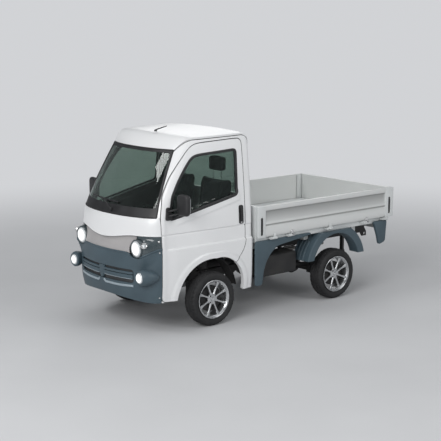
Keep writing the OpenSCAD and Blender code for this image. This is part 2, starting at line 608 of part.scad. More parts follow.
// Dashboard section: [behind the foremost point, height]
DASH = [[328, 770], [200 + firewall_t + seam, 780], [200 + firewall_t + seam, 1070], [280, 1112], [370, 1062],
  [392, 965], [340, 905]];
module dashboard() color("dimgray") {
  along_x(77 - floor_x, floor_x - 77) polygon([for (p = DASH) [front_y + p[0], p[1]]]);
  on_column() {
    translate([0, 0, -215]) cylinder(r = 32, h = 180);
    translate([0, 0, -60]) cylinder(r = column_r, h = 50);
  }
}
module steering_wheel() color("black") on_column() difference() {
  union() {
    rotate_extrude() translate([178, 0]) circle(13);
    translate([0, 0, -29]) cylinder(r = 45, h = 40);
    for (a = [0, 180, 270]) rotate([0, 0, a]) slab(0, 176, -16, 16, -10, 0);
  }
  translate([0, 0, -60]) cylinder(r = column_r + run, h = 50 + seam);
}
// Backrest section: [ahead of the back of the cab, height]
BACKREST = [[281, 818], [209, 1330], [181, 1395], [131, 1400], [103, 1360], [141, 800],
  [161, seat_z + seam]];
seat_half = 0.41 * floor_x;
module seats() color("dimgray") for (x = [-seat_x, seat_x]) {
  along_x(x - seat_half, x + seat_half) polygon([
    [riser_y + 250, seat_z + seam], [riser_y + 220, 800], [riser_y + 250, 845],
    for (p = BACKREST) [cab_back - p[0], up(p[1])]]);
  along_x(x - seat_half * 0.55, x + seat_half * 0.55) translate([cab_back - 139, up(1520)]) offset(r = 30)
    square([50, 110], center = true);
  for (s = [-60, 60]) rod([x + s, cab_back - 151, up(1380)], [x + s, cab_back - 141, up(1480)], 7);
}
module wiper() color("black") {
  p = front_pt(6, up(1150));
  q = front_pt(-28, up(1230));
  rod(p + [0, -7.2, 0], p + [0, -30, 0], 14);
  rod(p + [0, -24, 0], q + [0, -24, 0], 6);
}
module antenna() color("black") {
  p = roof_pt(4, 0.2);
  translate(p + [0, 0, 0.8]) cylinder(r = 14, h = 14);
  rod(p + [0, 0, 8], p + [0, 130, 50], 3);
}

deck_t = 30;
deck_z = gate_z + 25;
deck_front = bed_front + gate_t + seam;
deck_end = bed_rear - gate_t - clear;
// Bottom of the deck's edge beams
beam_z = gate_z - 55;
beam_w = 45;
// Bearers under the deck, evenly spaced
bearer_n = 6;
bearer_w = 60;
bearer_y = [deck_front + 36, deck_end - 94];
// Gate hinges: places as parts of the length of a side gate, and of half the deck's width
SIDE_HINGES = [for (q = [0.0815, 0.2022, 0.4789, 0.7555, 0.9115]) bed_front + q * bed_l];
REAR_HINGES = [for (q = [-0.66, 0, 0.66]) q * deck_x];
lug_r = 13;
lug_w = 40;
// A lug and its pin, at the deck side of a hinge; the pin runs on through the knuckle beside it
module lug(reach) {
  rotate([-90, 0, 0]) cylinder(r = lug_r - 1, h = lug_w);
  rotate([-90, 0, 0]) cylinder(r = gate_pin_r, h = 2 * lug_w + 1);
  slab(-reach, 0, 0, lug_w, -12, 8);
}
module knuckle_piece() {
  difference() {
    union() {
      translate([0, lug_w + 1, 0]) rotate([-90, 0, 0]) cylinder(r = lug_r - 1, h = lug_w);
      slab(-14, -2, lug_w + 1, 2 * lug_w + 1, 0, 60);
    }
    rotate([-90, 0, 0]) cylinder(r = gate_pin_r + run, h = 3 * lug_w);
  }
}
module bed_deck() color("silver") {
  slab(-deck_x, deck_x, deck_front, deck_end, deck_z - deck_t, deck_z);
  pitch = (bearer_y[1] - bearer_y[0]) / (bearer_n - 1);
  for (k = [0 : bearer_n - 1]) translate([0, bearer_y[0] + k * pitch, 0])
    slab(90 - deck_x, deck_x - 90, -bearer_w / 2, bearer_w / 2, rail_z[1][1] + seam, deck_z - deck_t + 1);
  both_sides() {
    slab(deck_x - beam_w, deck_x, deck_front, deck_end, beam_z, deck_z - deck_t + 1);
    for (y = SIDE_HINGES) translate([gate_hinge_x, y, gate_hinge_z]) lug(gate_hinge_x - deck_x + 1);
  }
  slab(-deck_x, deck_x, deck_end - beam_w, deck_end, beam_z, deck_z - deck_t + 1);
  for (x = REAR_HINGES) translate([x, gate_hinge_y, gate_hinge_z]) rotate([0, 0, 90]) mirror([0, 1, 0])
    lug(gate_hinge_y - deck_end + 1);
}
module headboard() color("silver") slab(-deck_x, deck_x, bed_front, bed_front + gate_t, beam_z, gate_top);

// Section of a gate: [out from the inner face, up from the bottom]; fluted outside, between the end caps
FLUTE = [[0, 0], [gate_t - 4, 0], [gate_t - 1, 40], [gate_t, 90], [gate_t - 2, 118], [gate_t - 9, 126],
  [gate_t - 4, 138], [gate_t - 5, 154], [gate_t - 14, 215], [gate_t - 12, 262], [gate_t - 1, 276],
  [gate_t, gate_h], [0, gate_h]];
cap_l = [102, 126];
// Latches, in a slot in each end cap
latch_y = [bed_front + 50, bed_rear - 65];
module gate_section(y0, y1) along_y(y0, y1)
  polygon([for (p = FLUTE) [bed_w / 2 - gate_t + p[0], gate_z + p[1]]]);
module side_gate() color("silver") {
  gate_section(bed_front, bed_rear);
  difference() {
    union() {
      slab(bed_w / 2 - gate_t, bed_w / 2, bed_front, bed_front + cap_l[0], gate_z, gate_top);
      slab(bed_w / 2 - gate_t, bed_w / 2, bed_rear - cap_l[1], bed_rear, gate_z, gate_top);
    }
    for (y = latch_y) translate([0, y, gate_z + 115])
      along_x(bed_w / 2 - 4, bed_w / 2 + 10) offset(r = 12) square([8, 160], center = true);
  }
  color("black") for (y = latch_y)
    slab(bed_w / 2 - 6, bed_w / 2 + 2, y - 7, y + 7, gate_z + 60, gate_z + 180);
  for (y = SIDE_HINGES) translate([gate_hinge_x, y, gate_hinge_z]) knuckle_piece();
}
module gate_left() side_gate();
module gate_right() mirror([1, 0, 0]) side_gate();
module tailgate() color("silver") {
  x1 = deck_x - 1;
  translate([0, bed_rear - bed_w / 2, 0]) rotate([0, 0, 90]) gate_section(-x1, x1);
  for (x = REAR_HINGES) translate([x, gate_hinge_y, gate_hinge_z]) rotate([0, 0, 90]) mirror([0, 1, 0])
    knuckle_piece();
}

side_x0 = deck_x + seam;
skirt_top = gate_z - 33;
flare_r = [340, 430];
// What is left of the rear overhang behind the flare
tail_l = bed_rear - axle_r - flare_r[1];
// Ribbed wall that carries the front of the flare inwards
splash_x = king_x - 60;
module splash_outline(r) intersection() {
  translate([axle_r - 10, axle_z + 100]) difference() {
    circle(r);
    circle(flare_r[0] + 60);
  }
  translate([axle_r - 600, axle_z + 190]) square([600 - 290, rail_z[1][1] - axle_z - 195]);
}
module side_mouldings() color("slategray") both_sides() {
  along_x(side_x0, side_x0 + 22) polygon([
    [bed_front - 16, skirt_top], [bed_front - 16, 300], [bed_front + 75, 300], [bed_front + 97, 445],
    [bed_front + 132, 537], [bed_front + 194, 615], [bed_front + 282, 680],
    [axle_r - 365, beam_z], [axle_r - 365, skirt_top]]);
  along_x(deck_x - 84, deck_x + 51) intersection() {
    translate([axle_r - 10, axle_z + 100]) difference() {
      circle(flare_r[1]);
      circle(flare_r[0]);
    }
    translate([axle_r - 600, axle_z + 190]) square([1200, beam_z - seam - axle_z - 190]);
  }
  along_x(splash_x, deck_x - 83) splash_outline(flare_r[1]);
  for (k = [0 : 3]) along_x(splash_x + 48 * k, splash_x + 48 * k + 16) splash_outline(flare_r[1] + 8);
  along_x(side_x0, side_x0 + 36) polygon([
    [bed_rear - 0.678 * tail_l, skirt_top], [bed_rear - 0.197 * tail_l, skirt_top],
    [bed_rear - 0.249 * tail_l, 519], [bed_rear - 0.472 * tail_l, 492], [bed_rear - 0.535 * tail_l, 600]]);
}
module tail_lamps() color("firebrick") both_sides()
  slab(deck_x - 214, deck_x - 14, deck_end - 40, deck_end + 4, beam_z - 95, beam_z - seam);

// Front knuckle: carries the wheel and turns on the king pin
module knuckle() color("gray") difference() {
  union() {
    rod([king_x, axle_f, 214], [king_x, axle_f, 320], 30);
    rod([king_x + 18, axle_f, axle_z], [wheel_x + 40, axle_f, axle_z], spindle_r);
    rod([king_x + 18, axle_f, axle_z], [king_x + 40, axle_f, axle_z], 38);
    along_z_arm();
  }
  rod([king_x, axle_f, 100], [king_x, axle_f, 400], king_r + run);
}
module along_z_arm() translate([0, 0, 222]) linear_extrude(18) polygon([
  [king_x - 20, axle_f], [king_x + 10, axle_f + 10], [king_x - 30, axle_f + 130],
  [king_x - 55, axle_f + 130]]);
module knuckle_left() knuckle();
module knuckle_right() mirror([1, 0, 0]) knuckle();

// Rim and tyre, each about its own middle, outer side to +Z
rim_r = rim_d / 2;
module rim() color("silver") {
  rotate_extrude() polygon([
    [rim_r + 3, -72], [rim_r + 13, -72], [rim_r + 13, -65], [rim_r, -60], [rim_r - 7, -40], [rim_r - 7, 30],
    [rim_r, 58], [rim_r + 13, 65], [rim_r + 13, 72], [rim_r + 3, 72], [rim_r - 14, 52], [rim_r - 14, -40],
    [rim_r - 6, -62]]);
  difference() {
    union() {
      translate([0, 0, -44]) cylinder(r = 44, h = 100);
      translate([0, 0, 34]) cylinder(r = 68, h = 18);
      for (k = [0 : spoke_count - 1]) rotate([0, 0, 360 * k / spoke_count]) translate([0, 0, 36])
        linear_extrude(20) polygon([[50, -15], [rim_r - 10, -22], [rim_r - 10, 22], [50, 15]]);
    }
    translate([0, 0, -50]) cylinder(r = spindle_r + run, h = 92);
  }
}
module tyre() color("black") rotate_extrude() {
  h = tyre_w / 2;
  r = tyre_d / 2;
  polygon([
    [rim_r + 0.3, -57], [rim_r + 0.3, 57], [rim_r + 15, h - 17], [rim_r + 36, h - 3], [r - 44, h],
    [r - 22, h - 3], [r - 8, h - 12], [r - 2, h - 28], [r, 0], [r - 2, 28 - h], [r - 8, 12 - h],
    [r - 22, 3 - h], [r - 44, -h], [rim_r + 36, 3 - h], [rim_r + 15, 17 - h]]);
}
// Places of the wheels: [side, y]
module at_wheel(side, y) translate([side * wheel_x, y, axle_z]) rotate([0, side * 90, 0]) children();
module rim_fl() at_wheel(1, axle_f) rim();
module rim_fr() at_wheel(-1, axle_f) rim();
module rim_rl() at_wheel(1, axle_r) rim();
module rim_rr() at_wheel(-1, axle_r) rim();
module tyre_fl() at_wheel(1, axle_f) tyre();
module tyre_fr() at_wheel(-1, axle_f) tyre();
module tyre_rl() at_wheel(1, axle_r) tyre();
module tyre_rr() at_wheel(-1, axle_r) tyre();

frame_rails();
cross_tubes();
engine();
driveline();
exhaust();
fuel_tank();
front_suspension();
rear_axle();
leaf_springs();
cab_floor();
cab_sides();
front_panel();
roof_panel();
back_panel();
windscreen();
rear_window();
front_bumper();
grille();
headlamps();
fog_lamps();
dashboard();
seats();
wiper();
antenna();
bed_deck();
headboard();
side_mouldings();
tail_lamps();
steering_wheel();
door_left();
door_right();
door_hinges_left();
door_hinges_right();
door_glass_left();
door_glass_right();
mirror_left();
mirror_right();
handle_left();
handle_right();
gate_left();
gate_right();
tailgate();
knuckle_left();
knuckle_right();
rim_fl();
rim_fr();
rim_rl();
rim_rr();
tyre_fl();
tyre_fr();
tyre_rl();
tyre_rr();
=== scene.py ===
# %% [markdown]
# # A small cab-over pickup truck
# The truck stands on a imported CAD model, which gives every size and every moving body. This lesson dresses
# that model: each panel is worked out again as a fine surface from the same few curves, and each finish is
# a small node graph. Loading the frame first means that no piece ever has to be fitted by eye.

# %% Load the frame and keep its box
import bmesh
import bpy
import numpy as np
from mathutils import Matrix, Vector


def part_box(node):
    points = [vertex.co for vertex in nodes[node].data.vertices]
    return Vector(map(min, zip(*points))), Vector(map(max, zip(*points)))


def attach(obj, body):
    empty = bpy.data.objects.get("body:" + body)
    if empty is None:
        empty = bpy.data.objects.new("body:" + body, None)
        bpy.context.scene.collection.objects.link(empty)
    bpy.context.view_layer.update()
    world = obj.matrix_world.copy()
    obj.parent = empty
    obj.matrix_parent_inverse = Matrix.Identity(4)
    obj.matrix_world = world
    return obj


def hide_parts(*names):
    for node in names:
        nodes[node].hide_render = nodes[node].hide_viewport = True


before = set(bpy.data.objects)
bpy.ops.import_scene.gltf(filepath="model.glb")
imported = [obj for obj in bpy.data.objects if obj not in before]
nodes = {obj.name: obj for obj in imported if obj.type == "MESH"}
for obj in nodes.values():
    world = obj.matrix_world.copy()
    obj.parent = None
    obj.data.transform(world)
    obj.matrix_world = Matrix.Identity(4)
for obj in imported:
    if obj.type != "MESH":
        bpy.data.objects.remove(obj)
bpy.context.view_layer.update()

# %% [markdown]
# ## Camera, floor and light
# The photograph was taken from ahead of the left front corner with a long lens. A long lens far away keeps the
# sides nearly parallel, so the camera goes to the distance that the wheels' ellipses gave, not to a close one.
# A pale floor and large soft lamps leave the gloss of the paint to tell its curves.

# %% Camera, floor and lamps
scene = bpy.context.scene
scene.view_settings.view_transform = "Standard"


def aim(obj, target):
    """Turns a lamp or camera so that its -Z axis points at the target."""
    obj.rotation_euler = (Vector(target) - obj.location).to_track_quat("-Z", "Y").to_euler()


camera = bpy.data.objects.new("camera", bpy.data.cameras.new("camera"))
camera.location = (9.2588, -7.9335, 3.0921)
camera.data.lens = 95.8
camera.data.shift_x, camera.data.shift_y = -0.032, -0.0087
camera.data.clip_end = 100
aim(camera, (0, 0, 0.878))
scene.collection.objects.link(camera)
scene.camera = camera

floor_mesh = bpy.data.meshes.new("floor")
floor_mesh.from_pydata([(-40, -40, 0), (40, -40, 0), (40, 40, 0), (-40, 40, 0)], [], [(0, 1, 2, 3)])
floor = bpy.data.objects.new("floor", floor_mesh)
scene.collection.objects.link(floor)

# Name, place, width in metres, power in watts
LAMPS = [("key", (4.6, -9.2, 5.2), 5.0, 520), ("side", (8.2, 2.0, 5.4), 4.0, 190),
         ("screen", (-2.2, -7.2, 8.7), 2.6, 170), ("top", (0.5, 0.0, 7.5), 8.0, 130),
         ("back", (-6.0, 5.5, 5.0), 5.0, 100)]
for lamp_name, place, size, power in LAMPS:
    lamp = bpy.data.lights.new(lamp_name, "AREA")
    lamp.size, lamp.energy = size, power
    holder = bpy.data.objects.new(lamp_name, lamp)
    holder.location = place
    aim(holder, (0, 0, 0.7))
    scene.collection.objects.link(holder)
print("lamps:", len(LAMPS))

# %% [markdown]
# ## Tools for surfaces
# Body panels are smooth, so most pieces are grids of points computed as whole arrays: a panel is a function of
# two parameters, and a rail is a profile carried along a path. Modelling by hand would also work, but then the
# panels would not follow the CAD curves. Closed sheets can be cut with each other, which is how the door, its
# window and the wheel arch share one surface.

# %% Curves, grids and outlines


def ease(t):
    """Smooth step: 0 below 0, 1 above 1, and t*t*(3 - 2t) between."""
    s = np.clip(t, 0, 1)
    return s * s * (3 - 2 * s)


def curve(x, xs, ys):
    """Hermite curve through the points (xs, ys), whose slope at each is that between its neighbours."""
    xs, ys = np.asarray(xs, float), np.asarray(ys, float)
    lo, hi = np.maximum(np.arange(len(xs)) - 1, 0), np.minimum(np.arange(len(xs)) + 1, len(xs) - 1)
    slope = (ys[hi] - ys[lo]) / (xs[hi] - xs[lo])
    i = np.clip(np.searchsorted(xs, x, side="right") - 1, 0, len(xs) - 2)
    h = xs[i + 1] - xs[i]
    t = (x - xs[i]) / h
    return (ys[i] * (1 + 2 * t) * (1 - t) ** 2 + ys[i + 1] * t * t * (3 - 2 * t)
            + h * t * (1 - t) * (slope[i] * (1 - t) - slope[i + 1] * t))


def grid_quads(rows, cols, ring=False, tube=False):
    """Quads of a rows x cols grid numbered row by row; ring joins its last column to the first, tube its rows."""
    i, j = np.meshgrid(np.arange(rows if tube else rows - 1), np.arange(cols if ring else cols - 1), indexing="ij")
    k, m = (j + 1) % cols, (i + 1) % rows
    return np.stack([i * cols + j, i * cols + k, m * cols + k, m * cols + j], -1).reshape(-1, 4)


def grid_normals(g):
    """Unit normals of a grid: the cross product of its two directions."""
    n = np.cross(np.gradient(g, axis=1), np.gradient(g, axis=0))
    return n / np.linalg.norm(n, axis=-1, keepdims=True)


def shell(g, thick):
    """Closed sheet: the grid, the grid moved inwards along its normals, and a rim of quads round the edge."""
    r, c = g.shape[:2]
    n = r * c
    q = grid_quads(r, c)
    loop = np.concatenate([np.arange(c), np.arange(2 * c - 1, n, c), np.arange(n - 2, n - c - 1, -1),
                           np.arange(n - 2 * c, 0, -c)])
    ahead = np.roll(loop, -1)
    rim = np.stack([ahead, loop, loop + n, ahead + n], -1)
    inner = g - thick * grid_normals(g)
    return np.concatenate([g.reshape(-1, 3), inner.reshape(-1, 3)]), [q, q[:, ::-1] + n, rim]


def rings(g, ends=True, tube=False):
    """Solid from rings of points, each closed on itself; its ends are closed with a face, or joined as a tube."""
    r, c = g.shape[:2]
    faces = [grid_quads(r, c, ring=True, tube=tube)]
    if ends and not tube:
        faces += [np.arange(c)[None, ::-1], (np.arange(c) + (r - 1) * c)[None]]
    return g.reshape(-1, 3), faces


def revolve(profile, centre, axis, count=64):
    """A profile of (radius, distance) turned round an axis through the centre."""
    axis = np.asarray(axis, float)
    u = np.cross(axis, (0.3, 0.5, 0.81))
    u /= np.linalg.norm(u)
    v = np.cross(axis, u)
    a = np.linspace(0, 2 * np.pi, count, endpoint=False)[None, :, None]
    p = np.asarray(profile, float)
    g = np.asarray(centre, float) + p[:, 1, None, None] * axis + p[:, 0, None, None] * (np.cos(a) * u + np.sin(a) * v)
    return rings(g, ends=False)


def sweep(path, section, up=(0, 0, 1), closed=False):
    """A closed section of (across, up) points carried along a path; across is level with the path and the up hint."""
    path, section = np.asarray(path, float), np.asarray(section, float)
    if closed:
        along = np.roll(path, -1, 0) - np.roll(path, 1, 0)
    else:
        along = np.gradient(path, axis=0)
    along = along / np.linalg.norm(along, axis=1, keepdims=True)
    across = np.cross(along, np.broadcast_to(up, along.shape))
    across = across / np.linalg.norm(across, axis=1, keepdims=True)
    rise = np.cross(across, along)
    g = path[:, None] + section[None, :, :1] * across[:, None] + section[None, :, 1:] * rise[:, None]
    return rings(g, tube=closed)


def fillet(points, radius, count=6):
    """Closed outline with each corner replaced by a parabola that starts a radius away from it."""
    p = np.asarray(points, float)
    back, on = np.roll(p, 1, 0) - p, np.roll(p, -1, 0) - p
    lb, lo = np.linalg.norm(back, axis=1, keepdims=True), np.linalg.norm(on, axis=1, keepdims=True)
    a = p + back / lb * np.minimum(radius, 0.45 * lb)
    b = p + on / lo * np.minimum(radius, 0.45 * lo)
    t = np.linspace(0, 1, count)[None, :, None]
    return ((1 - t) ** 2 * a[:, None] + 2 * t * (1 - t) * p[:, None] + t * t * b[:, None]).reshape(-1, 2)


def rounded(width, height, radius, count=6):
    """Rounded rectangle about the origin."""
    w, h = width / 2, height / 2
    return fillet([(-w, -h), (w, -h), (w, h), (-w, h)], radius, count)


def circle(radius, count=48, centre=(0, 0)):
    """Circle as an outline."""
    a = np.linspace(0, 2 * np.pi, count, endpoint=False)
    return np.stack([centre[0] + radius * np.cos(a), centre[1] + radius * np.sin(a)], -1)


def grow(outline, distance):
    """Outline moved outwards along its corner normals; it runs anticlockwise or clockwise."""
    p = np.asarray(outline, float)
    e = np.roll(p, -1, 0) - p
    e = e / np.maximum(np.linalg.norm(e, axis=1, keepdims=True), 1e-9)
    n = np.stack([e[:, 1], -e[:, 0]], -1)
    n = n + np.roll(n, 1, 0)
    n = n / np.maximum(np.linalg.norm(n, axis=1, keepdims=True), 1e-9)
    turn = np.sign(np.sum(p[:, 0] * np.roll(p[:, 1], -1) - p[:, 1] * np.roll(p[:, 0], -1)))
    return p + turn * distance * n


def resample(outline, count):
    """Closed outline with its points spread evenly along it."""
    p = np.concatenate([outline, outline[:1]])
    d = np.concatenate([[0], np.cumsum(np.linalg.norm(np.diff(p, axis=0), axis=1))])
    at = np.linspace(0, d[-1], count, endpoint=False)
    return np.stack([np.interp(at, d, p[:, 0]), np.interp(at, d, p[:, 1])], -1)


PLANES = {"x": (1, 2, 0), "y": (0, 2, 1), "z": (0, 1, 2)}
print("outline tools ready")

# %% Solids, cuts and pieces


def prism(outline, start, end, plane, edge=0.0, count=4):
    """Solid between two planes across x, y or z, with its edges rounded over a quarter circle of radius edge."""
    a = np.linspace(0, np.pi / 2, count) if edge else np.array([0.0])
    inset = edge * (1 - np.sin(np.concatenate([a, a[::-1]])))
    depth = np.concatenate([start + edge * (1 - np.cos(a)), end - edge * (1 - np.cos(a[::-1]))])
    loops = np.stack([grow(outline, -d) for d in inset])
    g = np.empty(loops.shape[:2] + (3,))
    first, second, third = PLANES[plane]
    g[..., first], g[..., second] = loops[..., 0], loops[..., 1]
    g[..., third] = depth[:, None]
    return rings(g)


def joined(*solids):
    """Several solids as one set of points and faces."""
    points, faces, start = [], [], 0
    for p, f in solids:
        points.append(p)
        faces += [x + start for x in f]
        start += len(p)
    return np.concatenate(points), faces


def flipped(solid):
    """The solid on the other side of the truck's middle plane."""
    return solid[0] * (-1, 1, 1), [f[:, ::-1] for f in solid[1]]


def both(solid):
    """The solid and its mirror image."""
    return joined(solid, flipped(solid))


def raw(name, solid):
    """Mesh object from points and faces, merged at poles and seams, with every face outwards."""
    mesh = bpy.data.meshes.new(name)
    mesh.from_pydata(solid[0].tolist(), [], [f for block in solid[1] for f in block.tolist()])
    bm = bmesh.new()
    bm.from_mesh(mesh)
    bmesh.ops.remove_doubles(bm, verts=bm.verts, dist=1e-6)
    bmesh.ops.recalc_face_normals(bm, faces=bm.faces)
    bm.to_mesh(mesh)
    bm.free()
    obj = bpy.data.objects.new(name, mesh)
    scene.collection.objects.link(obj)
    return obj


def applied(obj):
    """The mesh of an object with its modifiers applied."""
    bpy.context.view_layer.update()
    return bpy.data.meshes.new_from_object(obj.evaluated_get(bpy.context.evaluated_depsgraph_get()))


def cut(obj, *solids, how="DIFFERENCE"):
    """Cuts the object with each solid in turn, and puts the result into its mesh."""
    for solid in solids:
        tool = raw("tool", solid)
        change = obj.modifiers.new("cut", "BOOLEAN")
        change.operation, change.object, change.solver = how, tool, "MANIFOLD"
        result = applied(obj)
        obj.modifiers.clear()
        obj.data = result
        bpy.data.objects.remove(tool)
    return obj


def inside(obj, solid):
    """Keeps only what is inside the solid."""
    return cut(obj, solid, how="INTERSECT")


made = []


def put(obj, material, body="chassis", stands_for=(), sharp=32):
    """Gives a finished piece its finish and shading, and fixes it to a body."""
    obj.data.materials.clear()
    obj.data.materials.append(material)
    obj.data.shade_smooth()
    obj.data.set_sharp_from_angle(angle=np.radians(sharp))
    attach(obj, body)
    if stands_for:
        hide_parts(*stands_for)
    made.append((obj.name, len(obj.data.polygons)))
    return obj


def piece(name, solid, material, body="chassis", stands_for=(), sharp=32):
    """A solid as a finished piece."""
    return put(raw(name, solid), material, body, stands_for, sharp)


def points_of(mesh):
    """Vertex places of a mesh as an array."""
    co = np.empty(len(mesh.vertices) * 3)
    mesh.vertices.foreach_get("co", co)
    return co.reshape(-1, 3)


def other_side(obj, body="chassis", stands_for=()):
    """Mirror copy of a finished left piece; left becomes right in its name, its body and the nodes it stands for."""
    mesh = obj.data.copy()
    mesh.vertices.foreach_set("co", (points_of(mesh) * (-1, 1, 1)).ravel())
    mesh.flip_normals()
    name, body, *nodes_for = [text.replace("left", "right") for text in (obj.name, body, *stands_for)]
    copy = bpy.data.objects.new(name, mesh)
    scene.collection.objects.link(copy)
    return put(copy, mesh.materials[0], body, nodes_for)


def pair(obj, material, body="chassis", stands_for=()):
    """Finishes a left piece and makes the right one."""
    put(obj, material, body, stands_for)
    other_side(obj, body, stands_for)
    return obj


print("solid tools ready")

# %% [markdown]
# ## Finishes
# Each real finish shows something at its own scale: paint has a clear coat over a faint orange peel, moulded
# plastic a fine grain, rubber a dull bloom, cast alloy a soft sparkle. One helper clouds the colour and the
# roughness with noise and adds a fine bump, so that no surface is one flat colour.

# %% Finish helpers


def finish(name, **sockets):
    """New material; each named socket of its shader takes that constant, with _ for a space."""
    m = bpy.data.materials.new(name)
    m.use_nodes = True
    shader = m.node_tree.nodes["Principled BSDF"]
    for key, value in sockets.items():
        shader.inputs[key.replace("_", " ")].default_value = value
    return m, shader


def add(m, kind, **settings):
    """New node; a small first letter sets a property, a capital one a socket, by value or by a link."""
    n = m.node_tree.nodes.new("ShaderNode" + kind)
    for key, value in settings.items():
        if key[0].islower():
            setattr(n, key, value)
        elif isinstance(value, bpy.types.NodeSocket):
            m.node_tree.links.new(value, n.inputs[key.replace("_", " ")])
        else:
            n.inputs[key.replace("_", " ")].default_value = value
    return n


def link(m, out, socket):
    """Joins an output to an input socket."""
    m.node_tree.links.new(out, socket)


def figure(m, operation, *values):
    """Math node on sockets or numbers."""
    n = add(m, "Math", operation=operation)
    for socket, value in zip(n.inputs, values):
        if isinstance(value, bpy.types.NodeSocket):
            link(m, value, socket)
        else:
            socket.default_value = value
    return n.outputs["Value"]


def mixed(m, fac, first, second, output):
    """Sends a mix of two shaders to the output node."""
    mixer = add(m, "MixShader", Fac=fac)
    link(m, first, mixer.inputs[1])
    link(m, second, mixer.inputs[2])
    link(m, mixer.outputs["Shader"], m.node_tree.nodes[output].inputs["Surface"])


def clouds(m, scale, detail=3.0):
    """Noise on Object coordinates, so that it stays put in the piece."""
    at = add(m, "TexCoord").outputs["Object"]
    return add(m, "TexNoise", Vector=at, Scale=scale, Detail=detail).outputs["Fac"]


def blend_colour(m, fac, low, high, start=0.35, end=0.65):
    """Colour between two, over part of the noise's range."""
    ramp = add(m, "ValToRGB", Fac=fac)
    for stop, place, colour in zip(ramp.color_ramp.elements, (start, end), (low, high)):
        stop.position, stop.color = place, (*colour, 1)
    return ramp.outputs["Color"]


def span(m, fac, low, high):
    """Number between two, over the middle of the noise's range."""
    return add(m, "MapRange", Value=fac, From_Min=0.3, From_Max=0.7, To_Min=low, To_Max=high).outputs["Result"]


def clouded(name, low, high, rough, scale=4.0, grain=500.0, bump=0.15, depth=0.0004, **sockets):
    """Finish with clouded colour and roughness, and a fine grain as bump."""
    m, shader = finish(name, **sockets)
    fac = clouds(m, scale)
    link(m, blend_colour(m, fac, low, high), shader.inputs["Base Color"])
    link(m, span(m, fac, *rough), shader.inputs["Roughness"])
    if bump:
        relief = add(m, "Bump", Height=clouds(m, grain, 2.0), Strength=bump, Distance=depth)
        link(m, relief.outputs["Normal"], shader.inputs["Normal"])
    return m


print("finish helpers ready")

# %% Clouded finishes
white_paint = clouded("white_paint", (0.80, 0.805, 0.81), (0.83, 0.835, 0.84), (0.30, 0.36), 2.0, 260, 0.05, 0.0003,
                      Coat_Weight=0.4, Coat_Roughness=0.18)
# Painted shade: the band under the bonnet's edge is the white paint made grey, standing for the shadow of the bonnet's
# lip
band_painted_shade = clouded("band_painted_shade", (0.40, 0.385, 0.385), (0.45, 0.435, 0.43), (0.40, 0.48), 3.0, 260, 0.05, 0.0003,
                     Coat_Weight=0.4, Coat_Roughness=0.12)
bed_paint = clouded("bed_paint", (0.70, 0.72, 0.715), (0.76, 0.78, 0.775), (0.32, 0.40), 3.0, 300, 0.05, 0.0003,
                    Metallic=0.3, Coat_Weight=0.2, Coat_Roughness=0.12)
grey_plastic = clouded("grey_plastic", (0.056, 0.086, 0.106), (0.068, 0.103, 0.125), (0.42, 0.52), 5.0, 700, 0.25)
pale_plastic = clouded("pale_plastic", (0.30, 0.36, 0.40), (0.36, 0.42, 0.46), (0.32, 0.42), 6.0, 700, 0.1, 0.0003)
black_plastic = clouded("black_plastic", (0.012, 0.012, 0.013), (0.022, 0.022, 0.024), (0.42, 0.55), 8.0, 800, 0.3)
rubber = clouded("rubber", (0.011, 0.011, 0.012), (0.024, 0.024, 0.025), (0.62, 0.78), 9.0, 350, 0.2, 0.0006)
alloy = clouded("alloy", (0.54, 0.55, 0.56), (0.64, 0.65, 0.66), (0.22, 0.32), 14.0, 600, 0.06, 0.0002, Metallic=0.9)
bright_steel = clouded("bright_steel", (0.72, 0.72, 0.72), (0.82, 0.82, 0.82), (0.14, 0.24), 20.0, 400, 0.05, 0.0002,
                       Metallic=1.0)
chassis_black = clouded("chassis_black", (0.016, 0.016, 0.017), (0.036, 0.035, 0.034), (0.5, 0.7), 7.0, 240, 0.2,
                        0.0008)
cast_metal = clouded("cast_metal", (0.20, 0.20, 0.205), (0.33, 0.33, 0.335), (0.5, 0.65), 12.0, 180, 0.4, 0.001,
                     Metallic=0.8)
pipe_steel = clouded("pipe_steel", (0.16, 0.15, 0.14), (0.30, 0.29, 0.28), (0.45, 0.6), 10.0, 200, 0.2, 0.0006,
                     Metallic=0.9)
trim_grey = clouded("trim_grey", (0.045, 0.047, 0.050), (0.065, 0.067, 0.070), (0.6, 0.72), 6.0, 650, 0.3, 0.0005)
lining = clouded("lining", (0.30, 0.30, 0.30), (0.36, 0.36, 0.355), (0.8, 0.9), 5.0, 500, 0.3, 0.0006)
seat_fabric = clouded("seat_fabric", (0.045, 0.048, 0.055), (0.075, 0.078, 0.086), (0.82, 0.95), 11.0, 900, 0.7, 0.0008,
                      Sheen_Weight=0.3)
mirror_glass = clouded("mirror_glass", (0.70, 0.72, 0.74), (0.76, 0.78, 0.80), (0.02, 0.04), 2.0, bump=0.0,
                       Metallic=1.0)
lamp_slate = clouded("lamp_slate", (0.045, 0.062, 0.070), (0.062, 0.082, 0.090), (0.22, 0.32), 7.0, 500, 0.05, 0.0003,
                     Coat_Weight=0.6, Coat_Roughness=0.05)
dash_grey = clouded("dash_grey", (0.060, 0.075, 0.080), (0.080, 0.098, 0.104), (0.5, 0.62), 6.0, 650, 0.3, 0.0005)

print("clouded finishes:", len(bpy.data.materials))

# %% [markdown]
# ## Gates, glass and lenses
# Three finishes need a graph of their own. The outside of the gates has painted shade and painted highlight in its
# colour,
# set by the height: the hollow and the groove are painted darker and the bead a little lighter, because soft light
# alone leaves them too pale, so this painted shade stays under any light. Glass lets light through with a green tint. A
# lamp's glow fades from its axis to its rim, by an attribute that is written on the lens.

